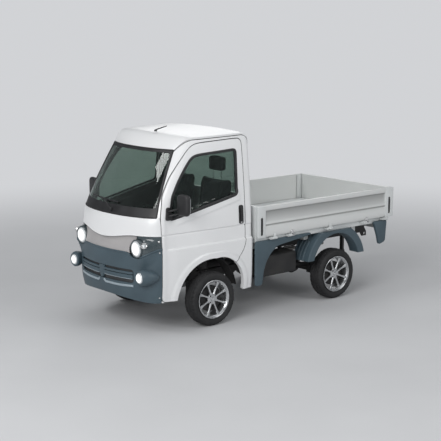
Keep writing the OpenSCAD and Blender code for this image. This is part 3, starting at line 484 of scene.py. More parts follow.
# %% Gate metal, glass and lenses
# The gates' metal carries painted shade: its colour is darkened by height in the groove and the hollow
gate_metal, gate_shader = finish("gate_metal", Metallic=0.3, Coat_Weight=0.2, Coat_Roughness=0.12)
gate_at = add(gate_metal, "SeparateXYZ", Vector=add(gate_metal, "TexCoord").outputs["Object"]).outputs


def share(value, low, high):
    """How far a gate's coordinate is from low to high, 0 to 1."""
    return add(gate_metal, "MapRange", Value=value, From_Min=low, From_Max=high).outputs["Result"]


level = share(gate_at["Z"], 0.79, 1.11)
sides = share(figure(gate_metal, "ABSOLUTE", gate_at["X"]), 0.692, 0.694)
outside = figure(gate_metal, "MAXIMUM", sides, share(gate_at["Y"], 1.642, 1.644))
shown = figure(gate_metal, "MAXIMUM", level, figure(gate_metal, "SUBTRACT", 1.0, outside))
shades = add(gate_metal, "ValToRGB", Fac=shown)
# Painted shade and highlight by part of the gate's height, tone: foot and bulge, groove, bead, hollow, top rail
GATE_PAINTED_SHADE_STOPS = [(0.0, 0.66), (0.10, 0.76), (0.34, 0.78), (0.385, 0.30), (0.41, 0.74), (0.45, 0.80), (0.52, 0.66),
              (0.78, 0.40), (0.82, 0.34), (0.85, 0.70), (1.0, 0.76)]
while len(shades.color_ramp.elements) < len(GATE_PAINTED_SHADE_STOPS):
    shades.color_ramp.elements.new(1.0)
for stop, (part, tone) in zip(shades.color_ramp.elements, GATE_PAINTED_SHADE_STOPS):
    stop.position, stop.color = part, (tone * 0.985, tone, tone * 0.985, 1)
link(gate_metal, shades.outputs["Color"], gate_shader.inputs["Base Color"])
link(gate_metal, span(gate_metal, clouds(gate_metal, 3.0), 0.30, 0.40), gate_shader.inputs["Roughness"])

glass, glass_shader = finish("glass", Transmission_Weight=1.0, IOR=1.42)
glass_tint = blend_colour(glass, clouds(glass, 1.2), (0.34, 0.42, 0.385), (0.40, 0.48, 0.44))
link(glass, glass_tint, glass_shader.inputs["Base Color"])
link(glass, span(glass, clouds(glass, 30.0), 0.0, 0.015), glass_shader.inputs["Roughness"])


def lens(name, low, high, strength=0.0, **sockets):
    """Clear moulded lens: glossy, with flutes as bump; the light of a lit one fades from the axis to the rim, which
    the attribute rim gives as a part of the radius."""
    m, shader = finish(name, IOR=1.5, Coat_Weight=1.0, Coat_Roughness=0.02, **sockets)
    if strength:
        out = add(m, "Attribute", attribute_name="rim").outputs["Fac"]
        light = add(m, "MapRange", interpolation_type="SMOOTHSTEP", Value=out, From_Min=0.35, From_Max=1.0,
                    To_Min=strength, To_Max=0.0)
        link(m, light.outputs["Result"], shader.inputs["Emission Strength"])
    link(m, blend_colour(m, clouds(m, 40.0), low, high), shader.inputs["Base Color"])
    link(m, span(m, clouds(m, 60.0), 0.05, 0.12), shader.inputs["Roughness"])
    at = add(m, "TexCoord").outputs["Object"]
    flutes = add(m, "TexWave", Vector=at, Scale=28.0, bands_direction="X", Distortion=0.3)
    relief = add(m, "Bump", Height=flutes.outputs["Fac"], Strength=0.35, Distance=0.002)
    link(m, relief.outputs["Normal"], shader.inputs["Normal"])
    return m


def mark_rim(obj, centre, radius):
    """Writes the attribute rim: the distance of each vertex from the lamp's axis, as a part of its radius."""
    co = points_of(obj.data)
    out = np.hypot(np.abs(co[:, 0]) - centre[0], co[:, 2] - centre[2]) / radius
    obj.data.attributes.new("rim", "FLOAT", "POINT").data.foreach_set("value", out)


lit_lens = lens("lit_lens", (0.42, 0.45, 0.47), (0.58, 0.61, 0.63), 1.6, Emission_Color=(1.0, 0.99, 0.96, 1))
clear_lens = lens("clear_lens", (0.42, 0.45, 0.47), (0.56, 0.59, 0.60))
red_lens = lens("red_lens", (0.30, 0.008, 0.008), (0.42, 0.014, 0.012))
amber_lens = lens("amber_lens", (0.55, 0.16, 0.01), (0.68, 0.22, 0.02))

print("finishes with those:", len(bpy.data.materials))

# %% [markdown]
# ## Floor and world
# The floor fades into a glow of the backdrop's colour far away, so that no horizon shows. The world has two faces: the
# camera sees the plain backdrop, directly or through glass, and every other ray meets a dim sky.

# %% Floor and world
floor_finish = clouded("floor_finish", (0.60, 0.605, 0.615), (0.63, 0.635, 0.645), (0.75, 0.85), 0.7, 60, 0.02, 0.0005)
BACKDROP = (0.64, 0.65, 0.67, 1)
away = add(floor_finish, "VectorMath", operation="LENGTH")
link(floor_finish, add(floor_finish, "TexCoord").outputs["Object"], away.inputs[0])
far = add(floor_finish, "MapRange", interpolation_type="SMOOTHSTEP", Value=away.outputs["Value"], From_Min=2.5,
          From_Max=9.0)
glow = add(floor_finish, "Emission", Color=BACKDROP, Strength=1.0)
floor_shader = floor_finish.node_tree.nodes["Principled BSDF"]
mixed(floor_finish, far.outputs["Result"], floor_shader.outputs["BSDF"], glow.outputs["Emission"], "Material Output")
floor.data.materials.append(floor_finish)

world = bpy.data.worlds.new("world")
world.use_nodes = True
scene.world = world
rays = add(world, "LightPath").outputs
seen = figure(world, "ADD", rays["Is Camera Ray"], rays["Is Transmission Ray"])
sky = world.node_tree.nodes["Background"]
sky.inputs["Color"].default_value = (0.86, 0.90, 0.95, 1)
sky.inputs["Strength"].default_value = 0.22
backdrop = add(world, "Background", Color=BACKDROP, Strength=1.0)
mixed(world, seen, sky.outputs["Background"], backdrop.outputs["Background"], "World Output")
print("finishes in all:", len(bpy.data.materials))

# %% [markdown]
# ## The shape of the cab
# The cab is one continuous skin. At each height a few numbers say how far back the nose is, how wide the cab is
# and how deep its front corners are; smooth curves through those rows give the skin at any height. The front is a
# quarter ellipse in plan on each side, and the sides run back from it, a little wider towards the bed.

# %% The cab's skin
front_y, cab_back, bed_front, bed_rear = -1.700, -0.339, -0.312, 1.676
axle_f, axle_r, axle_z = -0.880, 0.805, 0.266
door_front, door_rear = -1.435, -0.447
panel_y = door_front - 0.007
cowl_z, gutter_z, roof_t, crown = 1.115, 1.852, 0.022, 0.022
widest, toe, back_r = 0.640, 0.047, 0.050
crease_z, ledge_z, arch_r = 0.945, 0.812, 0.400
# Rows: height, nose behind the foremost point, side in from the widest, corner depth
SKIN = np.array([
    [300, 40, 20, 240], [420, 12, 8, 258], [640, 4, 2, 268], [780, 12, 0, 270], [900, 26, 4, 270],
    [1000, 38, 8, 268], [1080, 55, 11, 262], [1130, 80, 14, 255], [1330, 190, 28, 235],
    [1530, 312, 46, 215], [1730, 438, 67, 195], [1872, 527, 84, 181]]) / 1000


def nose(z):
    """y of the skin on the middle plane at height z."""
    return front_y + curve(z, SKIN[:, 0], SKIN[:, 1])


def half(z):
    """Half width of the cab behind its front corners."""
    return widest - curve(z, SKIN[:, 0], SKIN[:, 2])


def corner(z):
    """Depth of the rounded front, from the nose to where the side starts."""
    return curve(z, SKIN[:, 0], SKIN[:, 3])


def front(t, z):
    """Front skin: a half ellipse in plan, at angle t from straight ahead and height z."""
    t, z = np.broadcast_arrays(t, z)
    return np.stack([half(z) * np.sin(t), nose(z) + corner(z) * (1 - np.cos(t)), z], -1)


def angle_at(y, z):
    """Angle at which the front skin reaches y."""
    return np.arccos(np.clip(1 - (y - nose(z)) / corner(z), -1, 1))


def pressing(y, z):
    """Pressed forms of the side: a set-in band under the crease, a proud sill, a lip round the wheel arch and a
    raised belt under the window, each a smooth step; a groove at the crease; room for the hinges at the front."""
    band = 0.014 * ease((ledge_z + 0.006 - z) / 0.014)
    band = band - 0.006 * ease((crease_z - z) / 0.012) * ease((z - ledge_z + 0.004) / 0.012)
    off = np.minimum(np.hypot(y - axle_f, z - axle_z) - arch_r,
                     np.hypot(y - axle_f - 0.1, z - axle_z - 0.1) - arch_r + 0.1)
    lip = 0.011 * ease((0.060 - off) / 0.010)
    groove = 0.012 * np.exp(-((z - crease_z) / 0.006) ** 2)
    belt_z = 1.030 + (y + 1.272) * 0.2187
    belt = 0.008 * ease((z - belt_z + 0.005) / 0.010) * ease((belt_z + 0.13 - z) / 0.04)
    belt = belt * ease((y + 1.31) / 0.09) * ease((-0.49 - y) / 0.03)
    swell = 0.006 * np.exp(-((y - door_front - 0.020) / 0.025) ** 2)
    return ease((y - door_front) / 0.18) * band + lip + belt + swell - groove


def side(y, z):
    """Left skin: the front ellipse up to its end, then a line that widens towards the back, then a round corner."""
    y, z = np.broadcast_arrays(y, z)
    start = nose(z) + corner(z)
    q = np.clip((y - start) / (cab_back - start), 0, 1)
    into = np.clip(y - cab_back + back_r, 0, back_r)
    back = half(z) + toe * (1 - (1 - q) ** 2) - back_r + np.sqrt(np.maximum(back_r ** 2 - into ** 2, 0))
    ahead = half(z) * np.sin(angle_at(np.minimum(y, start), z))
    return np.stack([np.where(y < start, ahead, back) + pressing(y, z), y, z], -1)


# Gutter heights round the front corner, by angle in degrees; the screen ends at screen_deg, and at the gutter's height
# the side starts at y = side_start
screen_deg, side_start = 57.3, -1.003
CORNER = np.array([[50, 1.690], [screen_deg, 1.725], [65, 1.780], [76, 1.822], [90, 1.838]])
screen_t = np.radians(screen_deg)
corner_t = np.linspace(50, 90, 19)
side_s = np.linspace(0, 1, 84)[1:]
back_a = np.radians(np.linspace(0, 90, 10)[1:])
to_side, to_back = len(corner_t), len(corner_t) + len(side_s)
side_top = CORNER[-1, 1]
column_top = np.concatenate([curve(corner_t, CORNER[:, 0], CORNER[:, 1]), side_top + (gutter_z - side_top) * side_s,
                             gutter_z + 0 * back_a])
# The roof's back edge comes down in a quarter of an ellipse, tail_y long and tail_z high
tail_y, tail_z = 0.104, 0.135
top_y = np.concatenate([side_start + 0 * corner_t, side_start + (cab_back - back_r - side_start) * side_s,
                        cab_back - back_r + back_r * np.sin(back_a)])
tail = np.clip((top_y - cab_back) / tail_y + 1, 0, 1)
column_top = column_top - tail_z * (1 - np.sqrt(1 - tail ** 2))


def column_y(z):
    """y of each column of the side grid at heights z: round the corner, along the side, round the back."""
    z = np.asarray(z)
    first = nose(z) + corner(z)
    last = cab_back - back_r
    parts = [nose(z)[..., :to_side] + corner(z)[..., :to_side] * (1 - np.cos(np.radians(corner_t))),
             first[..., to_side:to_back] + side_s * (last - first[..., to_side:to_back]),
             np.broadcast_to(last + back_r * np.sin(back_a), z[..., to_back:].shape)]
    return np.concatenate(parts, -1)


low_rows = np.concatenate([np.linspace(0.300, 0.780, 46), [0.790, 0.799, 0.803, 0.808, 0.813, 0.818, 0.823, 0.830],
                           np.linspace(0.845, 0.925, 6), np.linspace(0.932, 0.958, 14),
                           np.linspace(0.965, cowl_z, 16)])
high = np.linspace(0, 1, 60)[1:, None]
row_z = np.concatenate([np.repeat(low_rows[:, None], len(column_top), 1),
                        cowl_z + high * (column_top - roof_t - 0.004 - cowl_z)])
side_grid = side(column_y(row_z), row_z)
side_grid = np.concatenate([side_grid, side_grid[:, -1:] - (0.030, 0, 0)], 1)
gutter = side(column_y(column_top[None])[0], column_top)
print("side grid:", side_grid.shape[:2])

# %% [markdown]
# ## Doors and cab sides
# A real door is one pressing with a hole for its window, cut along the same curve as the body around it. Here the
# whole side is one closed sheet, and the door is what lies inside its outline. The body side is the rest, cut
# with the same outline grown by the width of the shut line, so the gap is even all the way round.

# %% Doors and cab sides
DOOR = np.array([
    [door_front, 0.305], [door_front, 1.110], [-1.375, 1.314], [-1.281, 1.476], [-1.200, 1.583], [-1.105, 1.696],
    [-1.054, 1.744], [-1.002, 1.770], [-0.941, 1.781], [-0.529, 1.797], [-0.475, 1.794], [door_rear, 1.768],
    [door_rear, 0.830], [-0.462, 0.750], [-0.497, 0.680], [-0.560, 0.612], [-0.640, 0.540], [axle_f, 0.305]])
WINDOW = np.array([
    [-1.345, 1.088], [-1.300, 1.300], [-1.226, 1.427], [-1.121, 1.568], [-1.051, 1.644], [-1.000, 1.666],
    [-0.940, 1.674], [-0.523, 1.695], [-0.539, 1.259]])
door_outline = resample(fillet(DOOR, 0.05), 260)
window_outline = resample(fillet(WINDOW, 0.035), 180)
# The left side lies between these two planes
X0, X1 = 0.25, 1.0


def through(outline):
    """Solid through the left side of the cab, to cut its skin with."""
    return prism(outline, X0, X1, "x")


arch = [through(circle(arch_r, 96, (axle_f, axle_z))),
        through(circle(arch_r - 0.1, 96, (axle_f + 0.1, axle_z + 0.1)))]
screen_z0, screen_z1 = cowl_z + 0.001, 1.724
screen_base = 0.585
screen_top = float(half(np.array(screen_z1)) * np.sin(screen_t))

door = inside(raw("door_left_skin", shell(side_grid, 0.032)), through(door_outline))
cut(door, through(window_outline), *arch)
pair(door, white_paint, "door_left", ["door_left"])

body_side = raw("cab_side_left", shell(side_grid, 0.040))
screen_zone = np.array([[-0.1, screen_z0 - 0.001], [screen_base, screen_z0 - 0.001], [screen_base, screen_z0],
                        [screen_top, screen_z1], [screen_top, 2.0], [-0.1, 2.0]])
cut(body_side, through(grow(door_outline, 0.009)), *arch,
    prism([(X0, 0.25), (X1, 0.25), (X1, cowl_z), (X0, cowl_z)], -1.8, door_front, "y"),
    prism(screen_zone, -1.8, -0.9, "y"))
pair(body_side, white_paint, "chassis", ["cab_sides"])


def along_outline(outline, lift):
    """Points of a side-plane outline on the left skin, moved outwards by lift."""
    p = side(outline[:, 0], outline[:, 1])
    p[:, 0] += lift
    return p


def ring_band(outline, offsets):
    """Closed band round an outline on the left skin; offsets are (outwards in the side plane, lift off the skin)."""
    return rings(np.stack([along_outline(grow(outline, d), lift) for d, lift in offsets]), tube=True)


below = through([(-1.6, 0.2), (-0.3, 0.2), (-0.3, 0.312), (-1.6, 0.312)])
shut_steps = [(0.0096, -0.005), (0.003, -0.005), (0.003, -0.016), (0.0096, -0.016)]
shut = cut(raw("door_seal_left", ring_band(door_outline, shut_steps)), *arch, below)
pair(shut, rubber, "chassis")

lining_grid = side_grid - 0.033 * grid_normals(side_grid)
trim = inside(raw("door_trim_left", shell(lining_grid, 0.009)), through(grow(door_outline, -0.014)))
cut(trim, through(grow(window_outline, 0.010)), *arch)
pair(trim, trim_grey, "door_left")
print("door faces:", len(door.data.polygons), " body side faces:", len(body_side.data.polygons))

# %% [markdown]
# ## Door glass and seals
# The glass follows the door's skin a little inside it, and a black rubber seal frames it. Cutting a fine sheet with
# the window's own outline keeps both in register. The seal is a small round section carried round the outline.

# %% Door glass and window seals
glass_rows = np.linspace(1.06, 1.72, 34)[:, None]
glass_cols = np.linspace(-1.40, -0.49, 46)[None]
glass_y = np.maximum(glass_cols, nose(glass_rows) + 0.35 * corner(glass_rows) + 0.1 * (glass_cols + 1.40))
pane_grid = side(glass_y, np.broadcast_to(glass_rows, glass_y.shape))
pane_grid = pane_grid - 0.016 * grid_normals(pane_grid)
pane = inside(raw("door_pane_left", shell(pane_grid, 0.005)), through(grow(window_outline, -0.0005)))
pair(pane, glass, "door_left", ["door_glass_left"])
seal_steps = [(0.013, -0.006), (0.013, 0.0012), (0.009, 0.0030), (0.002, 0.0034), (-0.006, 0.0030), (-0.014, 0.0005),
              (-0.014, -0.0150), (0.002, -0.0150)]
pair(raw("window_seal_left", ring_band(window_outline, seal_steps)), black_plastic, "door_left")
print("pane faces:", len(pane.data.polygons))

# %% [markdown]
# ## Bonnet, roof and windscreen
# The white front panel, the roof and the glass all lie on the same skin, so they meet without steps. The roof is
# spanned between the two gutters and crowned across; its back edge comes down in a quarter of an ellipse, and the back
# panel takes its top from the roof's last row. The black border of the screen is printed on the real glass;
# here it is a thin band over it, with the round inner corners that the print has.

# %% Front panel, roof and back panel
edge_t = np.radians(86)


def bonnet_z(t):
    """Lower edge of the white panel: lowest in the middle, rising to the lamps."""
    return 0.897 + 0.048 * ease(np.abs(t) / np.radians(44))


def fascia_z(t):
    """Upper edge of the grey fascia: level in the middle, dipping under the lamps, rising to the door."""
    a = np.degrees(np.abs(t))
    return 0.780 - 0.040 * ease((a - 30) / 16) + 0.085 * ease((a - 46) / 38)


def bumper_z(t):
    """Lower edge of the bumper, lower at its ends."""
    return 0.345 - 0.045 * ease(np.abs(t) / np.radians(75))


def front_patch(low, high, cols, rows, wide=(-1, 1)):
    """Grid on the front skin between two edges, from one door line to the other, or over part of that width. The
    edges are given by angle, and edge_t is theirs at the door line."""
    u = np.linspace(*wide, cols)[None]
    f = np.linspace(0, 1, rows)[:, None]
    t = u * edge_t
    z = low(t) + f * (high(t) - low(t))
    return front(u * angle_at(panel_y, z), z)


bonnet = front_patch(bonnet_z, lambda t: cowl_z + 0 * t, 90, 26)
piece("bonnet_panel", shell(bonnet, 0.014), white_paint, "chassis", ["front_panel"])

lamp_x, lamp_y, lamp_z, lamp_r = 0.460, -1.617, 0.822, 0.092
band_f = np.linspace(0, 1, 18)[:, None]
band_u = np.linspace(-1, 1, 61)[None]
band_low, band_high = fascia_z(band_u * 0.6) + 0.002, bonnet_z(band_u * 0.6) + 0.014
band_z = band_low + band_f * (band_high - band_low)
band_x = np.minimum(lamp_x - np.sqrt(np.maximum(lamp_r ** 2 - (band_z - lamp_z) ** 2, 0)) - 0.002, 0.43)
band = front(np.arcsin(band_u * band_x / half(band_z)), band_z)
band = band - (0.010 + 0.018 * band_f)[..., None] * grid_normals(band)
# The band takes the grey copy of the white paint, with painted shade
piece("lamp_band", shell(band, 0.010), band_painted_shade, "chassis")

first_z = CORNER[1:2, 1]
first_bow = corner(first_z) * (1 - np.cos(screen_t))
keep = np.concatenate([corner_t >= screen_deg, np.ones(len(column_top) - to_side, bool)])
edge_line = np.concatenate([side(nose(first_z) + first_bow, first_z), gutter[keep]])
roof_s = (edge_line[:, 1:2] - edge_line[0, 1]) / (cab_back - edge_line[0, 1])
roof_u = np.linspace(-1, 1, 61)[None]
bow, rise = first_bow * (1 - roof_s) ** 2, crown * ease(roof_s * 5)
roof = np.stack([edge_line[:, :1] * roof_u, edge_line[:, 1:2] - bow * (1 - roof_u ** 2),
                 edge_line[:, 2:] + rise * (1 - np.abs(roof_u) ** 2.5)], -1)
piece("roof_skin", shell(roof, roof_t), white_paint, "chassis", ["roof_panel"])
seam_path = gutter[keep][:-3] - (0.004, 0, roof_t + 0.002)
piece("roof_seams", both(sweep(seam_path, rounded(0.012, 0.009, 0.003, 4))), rubber, "chassis")
headlining = (roof - 0.0235 * grid_normals(roof))[4:-12, 5:-5]
piece("roof_lining", shell(headlining, 0.006), lining, "chassis")

back_z = np.linspace(0.560, roof[-1, 0, 2] - 0.004, 60)
back_x = np.interp(back_z, side_grid[:, -2, 2], side_grid[:, -2, 0]) - 0.0025
back_line = np.concatenate([np.stack([back_x, back_z], -1), roof[-1, -3:1:-1][:, [0, 2]] - (0, 0.0015),
                            np.stack([-back_x, back_z], -1)[::-1]])
back_skin = raw("back_skin", prism(back_line, cab_back - 0.040, cab_back - 0.0015, "y"))
low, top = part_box("rear_window")
pane_gap = 0.010
opening = rounded(top[0] - low[0] + pane_gap, top[2] - low[2] + pane_gap, 0.043, 12) + (0, (top[2] + low[2]) / 2)
cut(back_skin, prism(opening, cab_back - 0.1, cab_back + 0.1, "y"))
put(back_skin, white_paint, "chassis", ["back_panel"])
print("roof grid:", roof.shape[:2])

# %% Windscreen and its border


def screen(u, f):
    """Windscreen: u runs across from edge to edge, f up from the cowl to the roof."""
    z = screen_z0 + f * (screen_z1 - screen_z0)
    x = screen_base + (screen_top - screen_base) * f
    return front(u * np.arcsin(x / half(z)), z)


pane_u, pane_f = np.meshgrid(np.linspace(-1, 1, 61), np.linspace(0, 1, 31))
windscreen = screen(pane_u, pane_f)
piece("windscreen_pane", shell(windscreen, 0.006), glass, "chassis", ["windscreen"])


def screen_normal(u, f):
    """Outward normal of the windscreen, from small steps in u and f."""
    n = np.cross(screen(u + 0.002, f) - screen(u - 0.002, f), screen(u, f + 0.002) - screen(u, f - 0.002))
    return n / np.linalg.norm(n, axis=-1, keepdims=True)


def print_band(loops, lift):
    """Band through loops of (u, f) on the windscreen, lifted off the glass and closed behind."""
    top = np.stack([screen(p[:, 0], p[:, 1]) for p in loops])
    out = np.stack([screen_normal(p[:, 0], p[:, 1]) for p in loops])
    return rings(np.concatenate([top + lift * out, (top + 0.0004 * out)[::-1]]), tube=True)


outer = resample(rounded(2, 1, 0.012, 4) + (0, 0.5), 400)
inner = resample(fillet([(-0.955, 0.135), (0.955, 0.135), (0.945, 0.955), (-0.945, 0.955)], 0.10, 14), 400)
border = print_band([outer + k * (inner - outer) for k in np.linspace(0, 1, 7)], 0.0018)
piece("windscreen_border", border, black_plastic, "chassis")
seal_path = screen(outer[:, 0], outer[:, 1]) + (0, -0.0005, 0)
screen_seal = sweep(seal_path, circle(0.0065, 10), (0, -0.86, 0.5), closed=True)
piece("windscreen_seal", screen_seal, rubber, "chassis")
print("windscreen grid:", windscreen.shape[:2])

# %% [markdown]
# ## Fascia, grille and lamps
# The lower front is one grey moulding with a slot for the grille and round seats for the lamps. It is the same skin
# again, cut by three shapes. The fog lamps stand in pods, which are turned profiles that sink into the moulding; their
# tails lean outwards, which makes a teardrop of each.

# %% Fascia and fog lamps


def fair(p):
    """Front skin with a swelling under each headlamp: points near the lamp come forward to its own plane."""
    p = p.copy()
    off = np.hypot(np.abs(p[..., 0]) - lamp_x, p[..., 2] - lamp_z) - lamp_r
    weight = ease(1 - off / 0.11) * ease((panel_y - 0.01 - p[..., 1]) / 0.11) * ease((0.920 - p[..., 2]) / 0.07)
    p[..., 1] += np.minimum(lamp_y + 0.008 - p[..., 1], 0) * weight
    return p


fascia = raw("front_fascia", shell(fair(front_patch(bumper_z, fascia_z, 130, 50)), 0.014))
# The lower front lies between these two planes
Y0, Y1 = -1.8, -1.4
lamp_hole = prism(circle(lamp_r + 0.003, 64, (lamp_x, lamp_z)), Y0, Y1, "y")
lamp_holes = [lamp_hole, flipped(lamp_hole)]
grille_z, grille_w, grille_h = 0.5525, 0.86, 0.131
grille_hole = prism(rounded(grille_w, grille_h, 0.035, 12) + (0, grille_z), Y0, Y1, "y")
cut(fascia, *lamp_holes, grille_hole)
put(fascia, grey_plastic, "chassis", ["front_bumper"])


def edge_path(edge, count=120):
    """Points along an edge on the front skin, from one door line to the other."""
    u = np.linspace(-1, 1, count)
    z = edge(u * edge_t)
    return front(u * angle_at(panel_y, z), z)


fascia_lip = raw("fascia_lip", sweep(fair(edge_path(fascia_z)) + (0, 0.003, -0.004), circle(0.009, 14)))
put(cut(fascia_lip, *lamp_holes), grey_plastic, "chassis")
bonnet_lip = sweep(edge_path(bonnet_z) + (0, 0.002, 0.003), circle(0.006, 12))
piece("bonnet_lip", bonnet_lip, white_paint, "chassis")

pod = np.array([0.553, -1.656, 0.561])
POD = fillet([(0.050, 0.012), (0.058, 0.0), (0.070, 0.006), (0.077, 0.030), (0.075, 0.062), (0.065, 0.100),
              (0.048, 0.140), (0.030, 0.172), (0.012, 0.172)], 0.012, 4)
pod_points, pod_faces = revolve(np.concatenate([POD, POD[:1]]), pod, (0, 1, 0), 72)
lean, lean_from = 0.42, pod[1] + 0.012
pod_points = pod_points + np.maximum(pod_points[:, 1:2] - lean_from, 0) * (lean, 0, 0)
piece("fog_pods", both((pod_points, pod_faces)), grey_plastic, "chassis")
LENS = np.array([(0.0, -0.010), (0.018, -0.0095), (0.034, -0.006), (0.045, -0.001), (0.053, 0.008), (0.054, 0.030),
                 (0.0, 0.030)])
fog = piece("fog_lenses", both(revolve(LENS, pod, (0, 1, 0), 64)), lit_lens, "chassis", ["fog_lamps"])
mark_rim(fog, pod, LENS[:, 0].max())
print("fascia faces:", len(fascia.data.polygons))

# %% Grille
bar_t = np.radians(np.linspace(-41.5, 41.5, 81))


def front_bar(z, height, depth, sink, t=bar_t, lip=0.004):
    """Bar that follows the front skin at height z, sunk behind it."""
    path = front(t, np.full_like(t, z))
    path = path + sink * np.stack([-np.sin(t) * 0.4, np.cos(t), 0 * t], -1)
    return sweep(path, rounded(depth, height, lip, 4))


back_plate = front_patch(lambda t: grille_z - 0.080 + 0 * t, lambda t: grille_z + 0.080 + 0 * t, 60, 8,
                         (-0.515, 0.515))
back_plate = back_plate - 0.024 * grid_normals(back_plate)
piece("grille_back", shell(back_plate, 0.006), trim_grey, "chassis", ["grille"])
slats = joined(*[front_bar(z, high, 0.022, 0.012) for z, high in ((0.5460, 0.036), (0.5815, 0.022))])
piece("grille_slats", slats, grey_plastic, "chassis")
grille_y = float(nose(np.array(grille_z)))
divider = prism(fillet([(-0.022, 0.491), (0.022, 0.491), (0.046, 0.614), (-0.046, 0.614)], 0.010, 5),
                grille_y + 0.001, grille_y + 0.026, "y", 0.004)
piece("grille_divider", divider, grey_plastic, "chassis")
strip_t = np.radians(np.linspace(3.2, 42, 60))
strip_z = 0.454 + 0.018 * (1 - ease((strip_t - strip_t[0]) / 0.05)) + 0.006 * ease((strip_t - 0.4) / 0.3)
strip_path = front(strip_t, strip_z) + (0, 0.001, 0)
edge_strip = front_bar(0.5265, 0.005, 0.010, 0.004, np.radians(np.linspace(4, 41, 50)), 0.002)
strips = both(joined(sweep(strip_path, rounded(0.014, 0.022, 0.006, 6)), edge_strip))
piece("grille_strips", strips, pale_plastic, "chassis")
print("grille bar points:", len(bar_t))

# %% Headlamps and indicators
lamp_t0, lamp_t1 = np.radians([45.2, 89])
lamp_s = np.linspace(0, 1, 50)[None]
lamp_t = lamp_t0 + lamp_s * (lamp_t1 - lamp_t0)
house_f = np.linspace(0, 1, 24)[:, None]
house_low, house_high = fascia_z(lamp_t) + 0.002, bonnet_z(lamp_t) - 0.002
house_z = house_low + house_f * (house_high - house_low)
house_grid = front(lamp_t0 + lamp_s * (angle_at(panel_y, house_z) - lamp_t0), house_z)
house_grid = fair(house_grid) + (0, 0.002, 0)
house = cut(raw("lamp_housing", both(shell(house_grid, 0.012))), joined(*lamp_holes))
put(house, lamp_slate, "chassis")
lamp_at = np.array([lamp_x, lamp_y, lamp_z])
DISH = np.array([(0.0, -0.014), (0.020, -0.0135), (0.040, -0.011), (0.058, -0.007), (0.070, -0.002), (0.077, 0.004),
                 (0.078, 0.040), (0.0, 0.040)])
lenses = both(revolve(DISH, lamp_at, (0, 1, 0), 72))
headlamps = piece("headlamp_lenses", lenses, lit_lens, "chassis", ["headlamps"])
mark_rim(headlamps, lamp_at, DISH[:, 0].max())
BEZEL = fillet([(0.076, 0.000), (0.084, -0.003), (0.0915, 0.006), (0.0915, 0.080), (0.076, 0.080)], 0.004, 4)
bezels = both(revolve(np.concatenate([BEZEL, BEZEL[:1]]), lamp_at, (0, 1, 0), 72))
piece("headlamp_bezels", bezels, lamp_slate, "chassis")


def stud(t, z, profile, lift=0.0, count=32):
    """Small turned part on the front skin, its axis along the skin's normal; both sides."""
    at = np.array([[t - 0.01, z], [t + 0.01, z], [t, z - 0.01], [t, z + 0.01], [t, z]])
    p = fair(front(at[:, 0], at[:, 1]))
    n = np.cross(p[1] - p[0], p[3] - p[2])
    n /= np.linalg.norm(n)
    return both(revolve(profile, p[4] + lift * n, n, count))


turn_t, turn_z = np.radians(61.5), 0.860
RING = [(0.020, 0.000), (0.022, 0.010), (0.026, 0.012), (0.030, 0.009), (0.031, 0.0), (0.031, -0.016), (0.020, -0.016)]
piece("indicator_rings", stud(turn_t, turn_z, RING + RING[:1], 0.008), bright_steel, "chassis")
CORE = [(0.0, 0.008), (0.010, 0.0075), (0.018, 0.004), (0.021, 0.0), (0.021, -0.012), (0.0, -0.012)]
piece("indicator_lenses", stud(turn_t, turn_z, CORE, 0.008), clear_lens, "chassis")
SCREW = [(0.0, 0.004), (0.004, 0.0038), (0.007, 0.0025), (0.0085, 0.0), (0.0085, -0.004), (0.0, -0.004)]
screws = [stud(np.radians(77), 0.895, np.array(SCREW) * 1.3, 0.006)]
screws += [stud(angle_at(panel_y - 0.022, z), z, SCREW, 0.001, 20) for z in (0.790, 0.355)]
piece("fascia_screws", joined(*screws), bright_steel, "chassis")
print("lamp housing faces:", len(house.data.polygons))

# %% [markdown]
# ## The drop-side bed
# Each gate is a folded sheet: a round top rail, a hollow below it, a full bulge lower down and a flat foot. Such a
# section never changes along the gate, so it is one profile carried along a line. Plain end caps close it, each
# with a black latch in an upright slot.

# %% Gates and headboard
bed_x, gate_t, gate_z, gate_h = 0.726, 0.036, 0.790, 0.320
deck_x, deck_z = 0.684, 0.815
gate_top = gate_z + gate_h
FLUTE = np.array([(0, 0), (28, 0), (33, 20), (35.5, 45), (36, 66), (34, 92), (29, 112), (23, 121), (25, 127),
                  (33.5, 133), (35, 142), (32, 153), (23, 190), (17, 225), (14, 250), (16, 263), (34, 272), (36, 285),
                  (36, 314), (31, 320), (0, 320)]) / 1000
flute = fillet(FLUTE, 0.012, 6) + (bed_x - gate_t, gate_z)
caps = [(bed_front, bed_front + 0.102), (bed_rear - 0.126, bed_rear)]
SLOTS = [(-0.262, 0.904), (1.611, 0.917)]
# The gate skin takes the metal with painted shade in its groove and hollow
gate = raw("gate_left_skin", prism(flute, caps[0][1] - 0.01, caps[1][0] + 0.01, "y"))
pair(gate, gate_metal, "gate_left", ["gate_left"])
for name, (start, end), (slot_y, slot_z) in zip(("front", "rear"), caps, SLOTS):
    corners = [(start, gate_z), (end, gate_z), (end, gate_top), (start, gate_top)]
    cap = raw("gate_cap_%s_left" % name, prism(fillet(corners, 0.010, 5), bed_x - gate_t, bed_x, "x", 0.004))
    cut(cap, prism(rounded(0.030, 0.186, 0.014, 6) + (slot_y, slot_z), bed_x - 0.010, bed_x + 0.02, "x"))
    pair(cap, bed_paint, "gate_left")
hinge_x, hinge_z, rear_hinge_y = 0.738, 0.775, 1.686
SIDE_HINGES, REAR_HINGES = (-0.150, 0.090, 0.640, 1.190, 1.500), (-0.451, 0.0, 0.451)
BARREL_END = [(0.0, 0.0), (0.010, 0.0), (0.012, 0.002), (0.012, 0.038), (0.010, 0.040), (0.0, 0.040)]


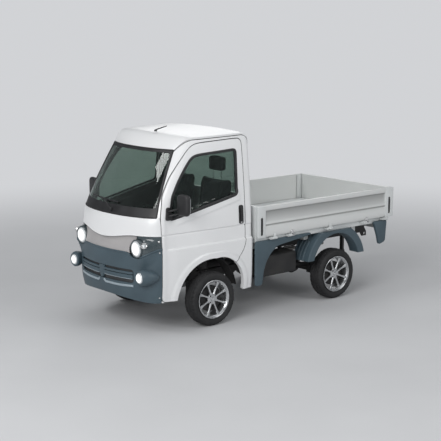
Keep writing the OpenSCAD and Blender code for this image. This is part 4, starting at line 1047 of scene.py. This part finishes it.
def gate_hinge(y):
    """Moving half of a hinge on the left gate: a strap on its outside, rolled into a barrel at the bottom."""
    outline = rounded(0.036, 0.050, 0.010, 5) + (y + 0.061, hinge_z + 0.026)
    strap = prism(outline, hinge_x - 0.013, hinge_x - 0.007, "x", 0.0025)
    return joined(strap, revolve(BARREL_END, (hinge_x, y + 0.041, hinge_z), (0, 1, 0), 24))


for kind, places, made_of in (("hinges", SIDE_HINGES[::2], bed_paint), ("barrels", SIDE_HINGES[1::2], bright_steel)):
    hinges = raw("gate_%s_left" % kind, joined(*[gate_hinge(y) for y in places]))
    pair(hinges, made_of, "gate_left")
turned = [gate_hinge(x) for x in REAR_HINGES]
turned = [(p[:, [1, 0, 2]] + (0, rear_hinge_y - hinge_x, 0), [f[:, ::-1] for f in faces]) for p, faces in turned]
piece("tailgate_hinges", joined(*turned), bed_paint, "tailgate")
latches = joined(*[prism(rounded(0.026, 0.180, 0.012, 6) + (y, z), bed_x - 0.012, bed_x - 0.004, "x", 0.002)
                   for y, z in SLOTS],
                 *[prism(rounded(0.013, 0.120, 0.006, 5) + (y, z + 0.008), bed_x - 0.006, bed_x + 0.003, "x", 0.002)
                   for y, z in SLOTS])
pair(raw("gate_latches_left", latches), black_plastic, "gate_left")

tail_half = deck_x - 0.002
# The tailgate takes the same metal with painted shade
tailgate = prism(flute + (bed_rear - bed_x, 0), -tail_half, tail_half, "x")
piece("tailgate_skin", tailgate, gate_metal, "tailgate", ["tailgate"])
head_outline = fillet([(-deck_x, 0.736), (deck_x, 0.736), (deck_x, gate_top), (-deck_x, gate_top)], 0.012, 5)
headboard = prism(head_outline, bed_front, bed_front + gate_t, "y", 0.006)
piece("headboard_panel", headboard, bed_paint, "chassis", ["headboard"])
print("gate faces:", len(gate.data.polygons))

# %% [markdown]
# ## Bed floor and mouldings
# The load floor is a sheet with pressed ribs that run lengthwise: its height is a repeating smooth step across the
# truck. The grey mouldings are thick plastic, so their edges are rounded; the arch over the rear wheel is a rounded
# section carried round a circle and trimmed level at its top and ends.

# %% Bed floor, skirts, arches, rear lamps
deck_front, deck_end = -0.2756, 1.634
rib_x = np.linspace(-deck_x + 0.004, deck_x - 0.004, 420)
wave = np.abs((rib_x / 0.114) % 1 - 0.5)
rib_z = deck_z + 0.0015 + 0.0045 * ease((wave - 0.14) / 0.10)
sheet_ends = (deck_front + 0.004, deck_end - 0.004)
floor_sheet = np.stack([np.stack([rib_x, np.full_like(rib_x, y), rib_z], -1) for y in sheet_ends])
piece("bed_floor_sheet", shell(floor_sheet, 0.001), bed_paint, "chassis", sharp=50)

SKIRT = [(-0.328, 0.757), (-0.328, 0.300), (-0.237, 0.300), (-0.215, 0.445), (-0.180, 0.537), (-0.118, 0.615),
         (-0.030, 0.680), (0.440, 0.735), (0.440, 0.757)]
TAIL = [(1.377, 0.757), (1.589, 0.757), (1.566, 0.519), (1.468, 0.492), (1.440, 0.600)]
skirt = prism(fillet(SKIRT, 0.030, 5), deck_x + 0.0004, deck_x + 0.0224, "x", 0.006)
tail_corner = prism(fillet(TAIL, 0.030, 5), deck_x + 0.0004, deck_x + 0.0364, "x", 0.010)
flare_y, flare_z = axle_r - 0.010, axle_z + 0.100
arc = np.radians(np.linspace(2, 178, 90))


def hoop(radial, along_x, middle_r, x):
    """Rounded section carried round the rear wheel, about the flare's centre."""
    path = np.stack([np.full_like(arc, x), flare_y + middle_r * np.cos(arc), flare_z + middle_r * np.sin(arc)], -1)
    return sweep(path, rounded(radial, along_x, 0.010, 6), up=(1, 0, 0))


flare_zone = prism([(0.0, 0.456), (1.6, 0.456), (1.6, 0.7346), (0.0, 0.7346)], 0.4, 0.9, "x")
flare = inside(raw("rear_flare_left", hoop(0.090, 0.135, 0.385, 0.6675)), flare_zone)
pair(flare, grey_plastic, "chassis", ["side_mouldings"])
wall_zone = prism([(0.30, 0.456), (0.505, 0.456), (0.505, 0.651), (0.30, 0.651)], 0.4, 0.9, "x")
splash = inside(raw("splash_wall_left", hoop(0.028, 0.105, 0.416, 0.5525)), wall_zone)
pair(splash, grey_plastic, "chassis")
for k in range(4):
    rib = raw("splash_rib_left_%d" % k, hoop(0.020, 0.015, 0.428, 0.508 + 0.048 * k))
    pair(inside(rib, wall_zone), grey_plastic, "chassis")
piece("bed_skirts", both(joined(skirt, tail_corner)), grey_plastic, "chassis", ["side_mouldings"])

rear_lamp_z = 0.687
REAR_LAMPS = [("stop_lamps", red_lens, 0.472, 0.548), ("rear_indicators", amber_lens, 0.551, 0.608),
              ("reversing_lamps", clear_lens, 0.611, 0.668)]
for name, made_of, start, end in REAR_LAMPS:
    outline = rounded(end - start, 0.088, 0.012, 5) + ((start + end) / 2, rear_lamp_z)
    piece(name, both(prism(outline, 1.598, 1.6375, "y", 0.008)), made_of, "chassis", ["tail_lamps"])
backing = prism(rounded(0.204, 0.094, 0.010, 4) + (0.570, rear_lamp_z), 1.592, 1.606, "y", 0.003)
piece("tail_lamp_bases", both(backing), black_plastic, "chassis")
print("rib columns:", len(rib_x))

# %% [markdown]
# ## Mirrors, handles, wiper and antenna
# A mirror head is a thick rounded shell on two arms that grow out of a black base on the door. The head is made flat
# and then turned about its own upright axis. The handle is a bowed bar in front of a plate, and the wiper's blade is
# a line on the glass, lifted along the glass's own normal.

# %% Mirrors
mirror_at, mirror_turn = np.array([0.745, -1.262, 1.236]), np.radians(8)
spin = np.array([[np.cos(mirror_turn), -np.sin(mirror_turn), 0], [np.sin(mirror_turn), np.cos(mirror_turn), 0],
                 [0, 0, 1]])


def at_mirror(solid):
    """Solid made about the origin, turned and put at the left mirror's place."""
    return solid[0] @ spin.T + mirror_at, solid[1]


mirror_shell = prism(rounded(0.148, 0.204, 0.048, 9), -0.030, 0.024, "y", 0.024, 8)
pad_y, pad_z = np.meshgrid(np.linspace(-1.400, -1.318, 14), np.linspace(1.085, 1.215, 18))
pad = side(pad_y, pad_z)
BASE = [(-1.396, 1.090), (-1.322, 1.090), (-1.322, 1.130), (-1.340, 1.210), (-1.372, 1.210)]
base = raw("mirror_base_left", shell(pad + 0.016 * grid_normals(pad), 0.017))
pair(inside(base, through(fillet(BASE, 0.02, 6))), black_plastic, "door_left")
arm_t = np.linspace(0, 1, 12)[:, None]
arms = []
for z in (1.130, 1.175):
    root, bend, tip = np.array([(0.640, -1.362, z), (0.690, -1.345, z + 0.015), (0.705, -1.268, z + 0.030)])
    arms.append(sweep((1 - arm_t) ** 2 * root + 2 * arm_t * (1 - arm_t) * bend + arm_t ** 2 * tip, circle(0.009, 14)))
mirror_head = raw("mirror_head_left", joined(at_mirror(mirror_shell), *arms))
pair(mirror_head, black_plastic, "door_left", ["mirror_left"])
mirror_face = prism(rounded(0.126, 0.182, 0.036, 8), 0.0225, 0.0262, "y", 0.001)
pair(raw("mirror_face_left", at_mirror(mirror_face)), mirror_glass, "door_left")
print("mirror arms:", len(arms))

# %% Door handles
handle_y = -0.497
plate_y, plate_z = np.meshgrid(np.linspace(-0.530, -0.464, 8), np.linspace(0.955, 1.153, 24))
plate = side(plate_y, plate_z)
plate = inside(raw("handle_plate_left", shell(plate + 0.006 * grid_normals(plate), 0.008)),
               through(rounded(0.054, 0.184, 0.020, 6) + (handle_y, 1.054)))
pair(plate, black_plastic, "door_left", ["handle_left"])
bar_z = np.linspace(0.985, 1.132, 24)
bar = side(np.full_like(bar_z, handle_y), bar_z)
bar[:, 0] += 0.004 + 0.012 * np.sqrt(np.clip(1 - ((bar_z - 1.0585) / 0.0745) ** 2, 0, 1))
pull = raw("handle_pull_left", sweep(bar, rounded(0.030, 0.013, 0.005, 5), (1, 0, 0)))
pair(pull, black_plastic, "door_left")
lock_at = side(np.array([handle_y]), np.array([0.980]))[0]
LOCK = [(0.0, 0.011), (0.008, 0.011), (0.011, 0.009), (0.012, 0.005), (0.012, 0.0), (0.0, 0.0)]
pair(raw("door_lock_left", revolve(LOCK, lock_at, (1, 0, 0), 28)), bright_steel, "door_left")
print("handle plate faces:", len(plate.data.polygons))

# %% Wiper and antenna

def on_glass(t, z, lift):
    """Points on the front skin, lifted along its normal."""
    t, z = np.broadcast_arrays(np.radians(t), z)
    n = np.cross(front(t + 0.01, z) - front(t - 0.01, z), front(t, z + 0.005) - front(t, z - 0.005))
    return front(t, z) + np.asarray(lift)[..., None] * n / np.linalg.norm(n, axis=-1, keepdims=True)


along = np.linspace(0, 1, 30)
blade_path = on_glass(-34 + 46 * along, 1.234 - 0.014 * along, 0.010)
arm_path = on_glass(6 - 14 * along, 1.152 + 0.074 * along, 0.022 + 0.010 * np.sin(np.pi * along))
PIVOT_AT = (6, 1.150)
cap_at = on_glass(*PIVOT_AT, 0.0)
cap_axis = on_glass(*PIVOT_AT, 1.0) - cap_at
PIVOT = [(0.0, 0.030), (0.009, 0.029), (0.014, 0.022), (0.016, 0.007), (0.0, 0.007)]
wiper = joined(sweep(blade_path, rounded(0.010, 0.014, 0.003, 4)), sweep(arm_path, rounded(0.009, 0.006, 0.002, 4)),
               revolve(PIVOT, cap_at, cap_axis, 28))
piece("wiper_arm", wiper, black_plastic, "chassis", ["wiper"])
mast_at = np.array([0.100, -1.100, 1.868])
mast_t = np.linspace(0, 1, 10)[:, None, None]
mast_ring = np.concatenate([circle(1.0, 14), np.zeros((14, 1))], 1)[:, [0, 2, 1]]
mast = mast_at + (0, 0, 0.014) + mast_t * (0, 0.135, 0.029) + (0.0064 - 0.0018 * mast_t) * mast_ring
FOOT = [(0.0, 0.020), (0.007, 0.019), (0.013, 0.013), (0.016, 0.0), (0.0, 0.0)]
antenna = joined(rings(mast), revolve(FOOT, mast_at, (0, 0, 1), 28))
piece("antenna_mast", antenna, black_plastic, "chassis", ["antenna"])
print("wiper points:", len(wiper[0]), " antenna points:", len(antenna[0]))

# %% [markdown]
# ## Inside the cab
# The dashboard is a moulding with a soft section, carried across the cab, and a hood stands over the instruments.
# The seats are stuffed: each starts as a slightly smaller closed form, which is remeshed into even small faces and
# blown up by the pressure of a cloth simulation. The sewn channels are pressed in afterwards, because the remesh
# would lose them. One seat is simulated, and the other is its mirror image.

# %% Dashboard
DASH = [(-1.372, 0.770), (-1.4876, 0.780), (-1.4876, 1.070), (-1.420, 1.112), (-1.330, 1.062), (-1.308, 0.965),
        (-1.360, 0.905)]
dash = prism(fillet(DASH, 0.035, 6), -0.495, 0.495, "x", 0.018, 5)
piece("dash_moulding", dash, dash_grey, "chassis", ["dashboard"])
dome_a = np.linspace(0.02, np.pi - 0.02, 24)[:, None]
dome_b = np.linspace(0, 2 * np.pi, 48, endpoint=False)[None]
dome = np.stack([0.290 + 0.165 * np.sin(dome_a) * np.cos(dome_b), -1.372 + 0.075 * np.sin(dome_a) * np.sin(dome_b),
                 1.066 + 0.062 * np.cos(dome_a) + 0 * dome_b], -1)
piece("instrument_hood", rings(dome), pale_plastic, "chassis")
VENTS = (-0.40, -0.075, 0.075, 0.44)
vents = [prism(rounded(0.120, 0.055, 0.012, 5) + (x, 1.000), -1.322, -1.306, "y", 0.003) for x in VENTS]
console = prism(rounded(0.230, 0.100, 0.014, 5) + (0.0, 0.915), -1.356, -1.330, "y", 0.004)
piece("dash_panels", joined(console, *vents), black_plastic, "chassis")
print("vents:", len(vents))

# %% Seats
SEAT_X, seat_z = 0.290, 0.7060
channel_x, channel_w, channel_depth = 0.130, 0.006, 0.007
# The furthest that the stuffing pushes the cover out
puff = 0.022
BACK = [(-0.612, seat_z), (-0.606, 0.835), (-0.534, 1.318), (-0.512, 1.378), (-0.478, 1.384), (-0.456, 1.355),
        (-0.494, 0.815), (-0.512, seat_z)]
# Name: the form before it is blown up, and the two corners of the room that it has
PADS = {
    "cushion": (prism(rounded(0.430, 0.395, 0.075, 8) + (SEAT_X, -0.842), seat_z, 0.828, "z", 0.034, 6),
                ((SEAT_X - 0.234, -1.049, seat_z), (SEAT_X + 0.234, -0.630, 0.862))),
    "backrest": (prism(fillet(BACK, 0.028, 6), SEAT_X - 0.213, SEAT_X + 0.213, "x", 0.026, 6),
                 ((SEAT_X - 0.234, -0.6285, seat_z), (SEAT_X + 0.234, -0.440, 1.400))),
    "headrest": (prism(rounded(0.078, 0.140, 0.030, 6) + (-0.478, 1.520), SEAT_X - 0.106, SEAT_X + 0.106, "x", 0.030,
                       6),
                 ((SEAT_X - 0.129, -0.533, 1.436), (SEAT_X + 0.129, -0.423, 1.605)))}


def channels(x, along, middle):
    """Depth of the sewn channels: one along each side of the seat and one across between them, each a bell curve."""
    lengthwise = np.exp(-((np.abs(x) - channel_x) / channel_w) ** 2)
    crosswise = np.exp(-((along - middle) / channel_w) ** 2) * (np.abs(x) < channel_x)
    return channel_depth * np.clip(lengthwise + crosswise, 0, 1)


pads = {}
for name, (solid, room) in PADS.items():
    pad_obj = raw("seat_%s_left" % name, solid)
    remesh = pad_obj.modifiers.new("remesh", "REMESH")
    remesh.mode, remesh.voxel_size = "VOXEL", 0.006
    even = applied(pad_obj)
    pad_obj.modifiers.clear()
    pad_obj.data = even
    pads[name] = pad_obj
rest = {name: points_of(o.data) for name, o in pads.items()}
for o in pads.values():
    cloth = o.modifiers.new("cloth", "CLOTH")
    cloth.settings.use_pressure = True
    cloth.settings.uniform_pressure_force = 4
    cloth.settings.effector_weights.gravity = 0
for frame_number in range(1, 21):
    scene.frame_set(frame_number)
for name, (solid, room) in PADS.items():
    o = pads[name]
    move = points_of(applied(o)) - rest[name]
    o.modifiers.clear()
    moved = np.linalg.norm(move, axis=1, keepdims=True)
    at = rest[name] + move * np.minimum(1, puff / np.maximum(moved, 1e-9))
    x, y, z = at.T
    if name == "cushion":
        at[:, 2] = z - channels(x - SEAT_X, y, -0.840) * ease((z - 0.800) / 0.02)
    if name == "backrest":
        ahead = -0.5645 + 0.149 * (z - 1.05)
        at[:, 1] = y + channels(x - SEAT_X, z, 1.080) * ease((ahead - y) / 0.02)
    o.data.vertices.foreach_set("co", np.clip(at, *room).ravel())
    put(o, seat_fabric, "chassis", ["seats"], sharp=180)
    twin = other_side(o, "chassis", ["seats"])
    for seat_pad in (o, twin):
        smooth = seat_pad.modifiers.new("smooth", "SUBSURF")
        smooth.levels = smooth.render_levels = 1
scene.frame_set(1)
POST = [(0, 0), (0.006, 0), (0.006, 0.110), (0, 0.110)]
posts = [revolve(POST, (SEAT_X + x, -0.478, 1.355), (0, 0, 1), 16) for x in (-0.06, 0.06)]
piece("headrest_posts", both(joined(*posts)), bright_steel, "chassis")
print("pads:", {name: len(o.data.vertices) for name, o in pads.items()})

# %% [markdown]
# ## Wheels
# The tyre is a turned profile, with the tread worked into its radius: grooves run round it, and slots cross the
# shoulders. The alloy rim is a turned barrel with eight tapered spokes that dish in towards the hub.

# %% Tyres and rims
tyre_r, inner_r, rim_r, wheel_x = 0.266, 0.1790, 0.178, 0.652
SECTION = np.array([(-57, 178.4), (-60.5, 192.5), (-73, 209), (-77.0, 226), (-76.2, 239), (-73, 249.5), (-66, 257.5),
                    (-56, 261.5), (-49.5, 263.2)]) / 1000
tread = np.linspace(-0.0465, 0.0465, 32)
across = np.concatenate([SECTION[:, 0], tread, -SECTION[::-1, 0]])
radius = np.concatenate([SECTION[:, 1], tyre_r - 1.3 * tread ** 2, SECTION[::-1, 1]])
turn = np.linspace(0, 2 * np.pi, 288, endpoint=False)


def tyre_points(cx, cy):
    """Tyre about (cx, cy): the section turned round, with grooves and shoulder slots taken out of its radius."""
    a, w = np.meshgrid(turn, across, indexing="ij")
    r = np.broadcast_to(radius, a.shape).copy()
    groove = np.exp(-((np.abs(w) - 0.017) / 0.0028) ** 4) + np.exp(-((np.abs(w) - 0.037) / 0.0026) ** 4)
    slot = (np.abs(w) > 0.039) * (np.abs(w) < 0.067) * ease((np.sin(72 * a / 2 + 60 * w) - 0.55) / 0.2)
    sipe = (np.abs(w) < 0.034) * (np.abs(w) > 0.020) * ease((np.sin(72 * a / 2 - 90 * w) - 0.7) / 0.2)
    r = r - 0.0055 * np.clip(groove + slot + 0.7 * sipe, 0, 1) * (r > 0.2555)
    bead = 0.0012 * np.exp(-((r - 0.212) / 0.002) ** 2) + 0.0012 * np.exp(-((r - 0.238) / 0.0015) ** 2)
    x = cx + w + np.sign(w) * bead * (np.abs(w) > 0.06)
    return np.stack([x, cy + r * np.cos(a), axle_z + r * np.sin(a)], -1)


def tyre(cx, cy):
    """Tyre as a closed tube: the section and its inner wall, turned round."""
    a, w = np.meshgrid(turn, (0.050, -0.050), indexing="ij")
    inner = np.stack([cx + w, cy + inner_r * np.cos(a), axle_z + inner_r * np.sin(a)], -1)
    return rings(np.concatenate([tyre_points(cx, cy), inner], 1), tube=True)


BARREL = np.array([(3, -72), (13, -72), (13, -66), (0, -60), (-7, -40), (-7, 30), (0, 56), (11.5, 64), (13, 72),
                   (7, 73.5), (-1, 66), (-11, 54), (-13, 40), (-12, -40), (-6, -62)]) / 1000 + (rim_r, 0)
barrel = fillet(BARREL, 0.004, 3)
HUB = np.array([(0.0, 60), (14, 59.5), (22, 57), (24, 52), (38, 50), (52, 47), (57, 42), (57, 30), (44, 26), (44, -40),
                (0, -40)]) / 1000
NUT = [(0, 0.0505), (0.007, 0.0505), (0.009, 0.0485), (0.009, 0.040), (0, 0.040)]
DRUM = np.array([(46, -20), (125, -20), (128, -14), (128, 8), (122, 14), (46, 16)]) / 1000
SPOKES, LUGS = 8, 4


def rim(side_sign, cy):
    """Rim: barrel, hub and spokes about the axle, its face towards the outside."""
    centre = np.array([side_sign * wheel_x, cy, axle_z])
    axis = (side_sign, 0, 0)
    parts = [revolve(np.concatenate([barrel, barrel[:1]]), centre, axis, 96), revolve(HUB, centre, axis, 48)]
    along = np.linspace(0.044, rim_r - 0.008, 10)
    half_w = curve(along, [0.044, 0.080, 0.125, 0.170], [0.0130, 0.0100, 0.0106, 0.0185])
    face = curve(along, [0.044, 0.080, 0.130, 0.170], [0.049, 0.048, 0.053, 0.062])
    depth = curve(along, [0.044, 0.170], [0.018, 0.016])
    shape = fillet([(-1, 0.0), (-0.72, 1.0), (0.72, 1.0), (1, 0.0), (0.8, -0.9), (-0.8, -0.9)], 0.25, 3)
    for k in range(SPOKES):
        a = 2 * np.pi * (k + 0.5) / SPOKES
        out = np.array([0, np.cos(a), np.sin(a)])
        cross = np.array([0, -np.sin(a), np.cos(a)])
        g = (centre + along[:, None, None] * out + half_w[:, None, None] * shape[None, :, :1] * cross
             + (face[:, None] - depth[:, None] * 0.5 * (1 - shape[None, :, 1]))[..., None] * np.array(axis, float))
        parts.append(rings(g))
    return joined(*parts)


def lug_marks(side_sign, cy):
    """Wheel nuts round the hub, and the dark drum behind the spokes."""
    centre = np.array([side_sign * wheel_x, cy, axle_z])
    axis = np.array([side_sign, 0, 0])
    nuts = []
    for k in range(LUGS):
        a = np.pi / 4 + 2 * np.pi * k / LUGS
        at = centre + 0.042 * np.array([0, np.cos(a), np.sin(a)])
        nuts.append(revolve(NUT, at, axis, 12))
    return joined(revolve(DRUM, centre, axis, 48), *nuts)


WHEELS = [("fl", 1, axle_f), ("fr", -1, axle_f), ("rl", 1, axle_r), ("rr", -1, axle_r)]
for name, sign, y in WHEELS:
    wheel = "wheel_" + name
    piece("tyre_%s_tread" % name, tyre(sign * wheel_x, y), rubber, wheel, ["tyre_" + name], sharp=28)
    piece("rim_%s_spokes" % name, rim(sign, y), alloy, wheel, ["rim_" + name])
    piece("nuts_" + name, lug_marks(sign, y), chassis_black, wheel)
print("wheels:", len(WHEELS))

# %% [markdown]
# ## What stays from the CAD
# The running gear, the cab's floor, the deck, the hinges, the rear window and the steering wheel already have their
# shape in the CAD, so those nodes stay and only take a finish.

# %% Finishes for the CAD nodes that stay
KEPT = {
    chassis_black: "frame_rails cross_tubes front_suspension rear_axle leaf_springs driveline fuel_tank cab_floor "
                   "door_hinges_left door_hinges_right knuckle_left knuckle_right",
    cast_metal: "engine", pipe_steel: "exhaust", glass: "rear_window", bed_paint: "bed_deck",
    black_plastic: "steering_wheel"}
for material, names in KEPT.items():
    for name in names.split():
        nodes[name].data.materials.clear()
        nodes[name].data.materials.append(material)
print("kept nodes:", sum(len(v.split()) for v in KEPT.values()))

# %% Count the pieces and their faces
bpy.context.view_layer.update()
print("pieces:", len(made), "faces:", sum(n for _, n in made))
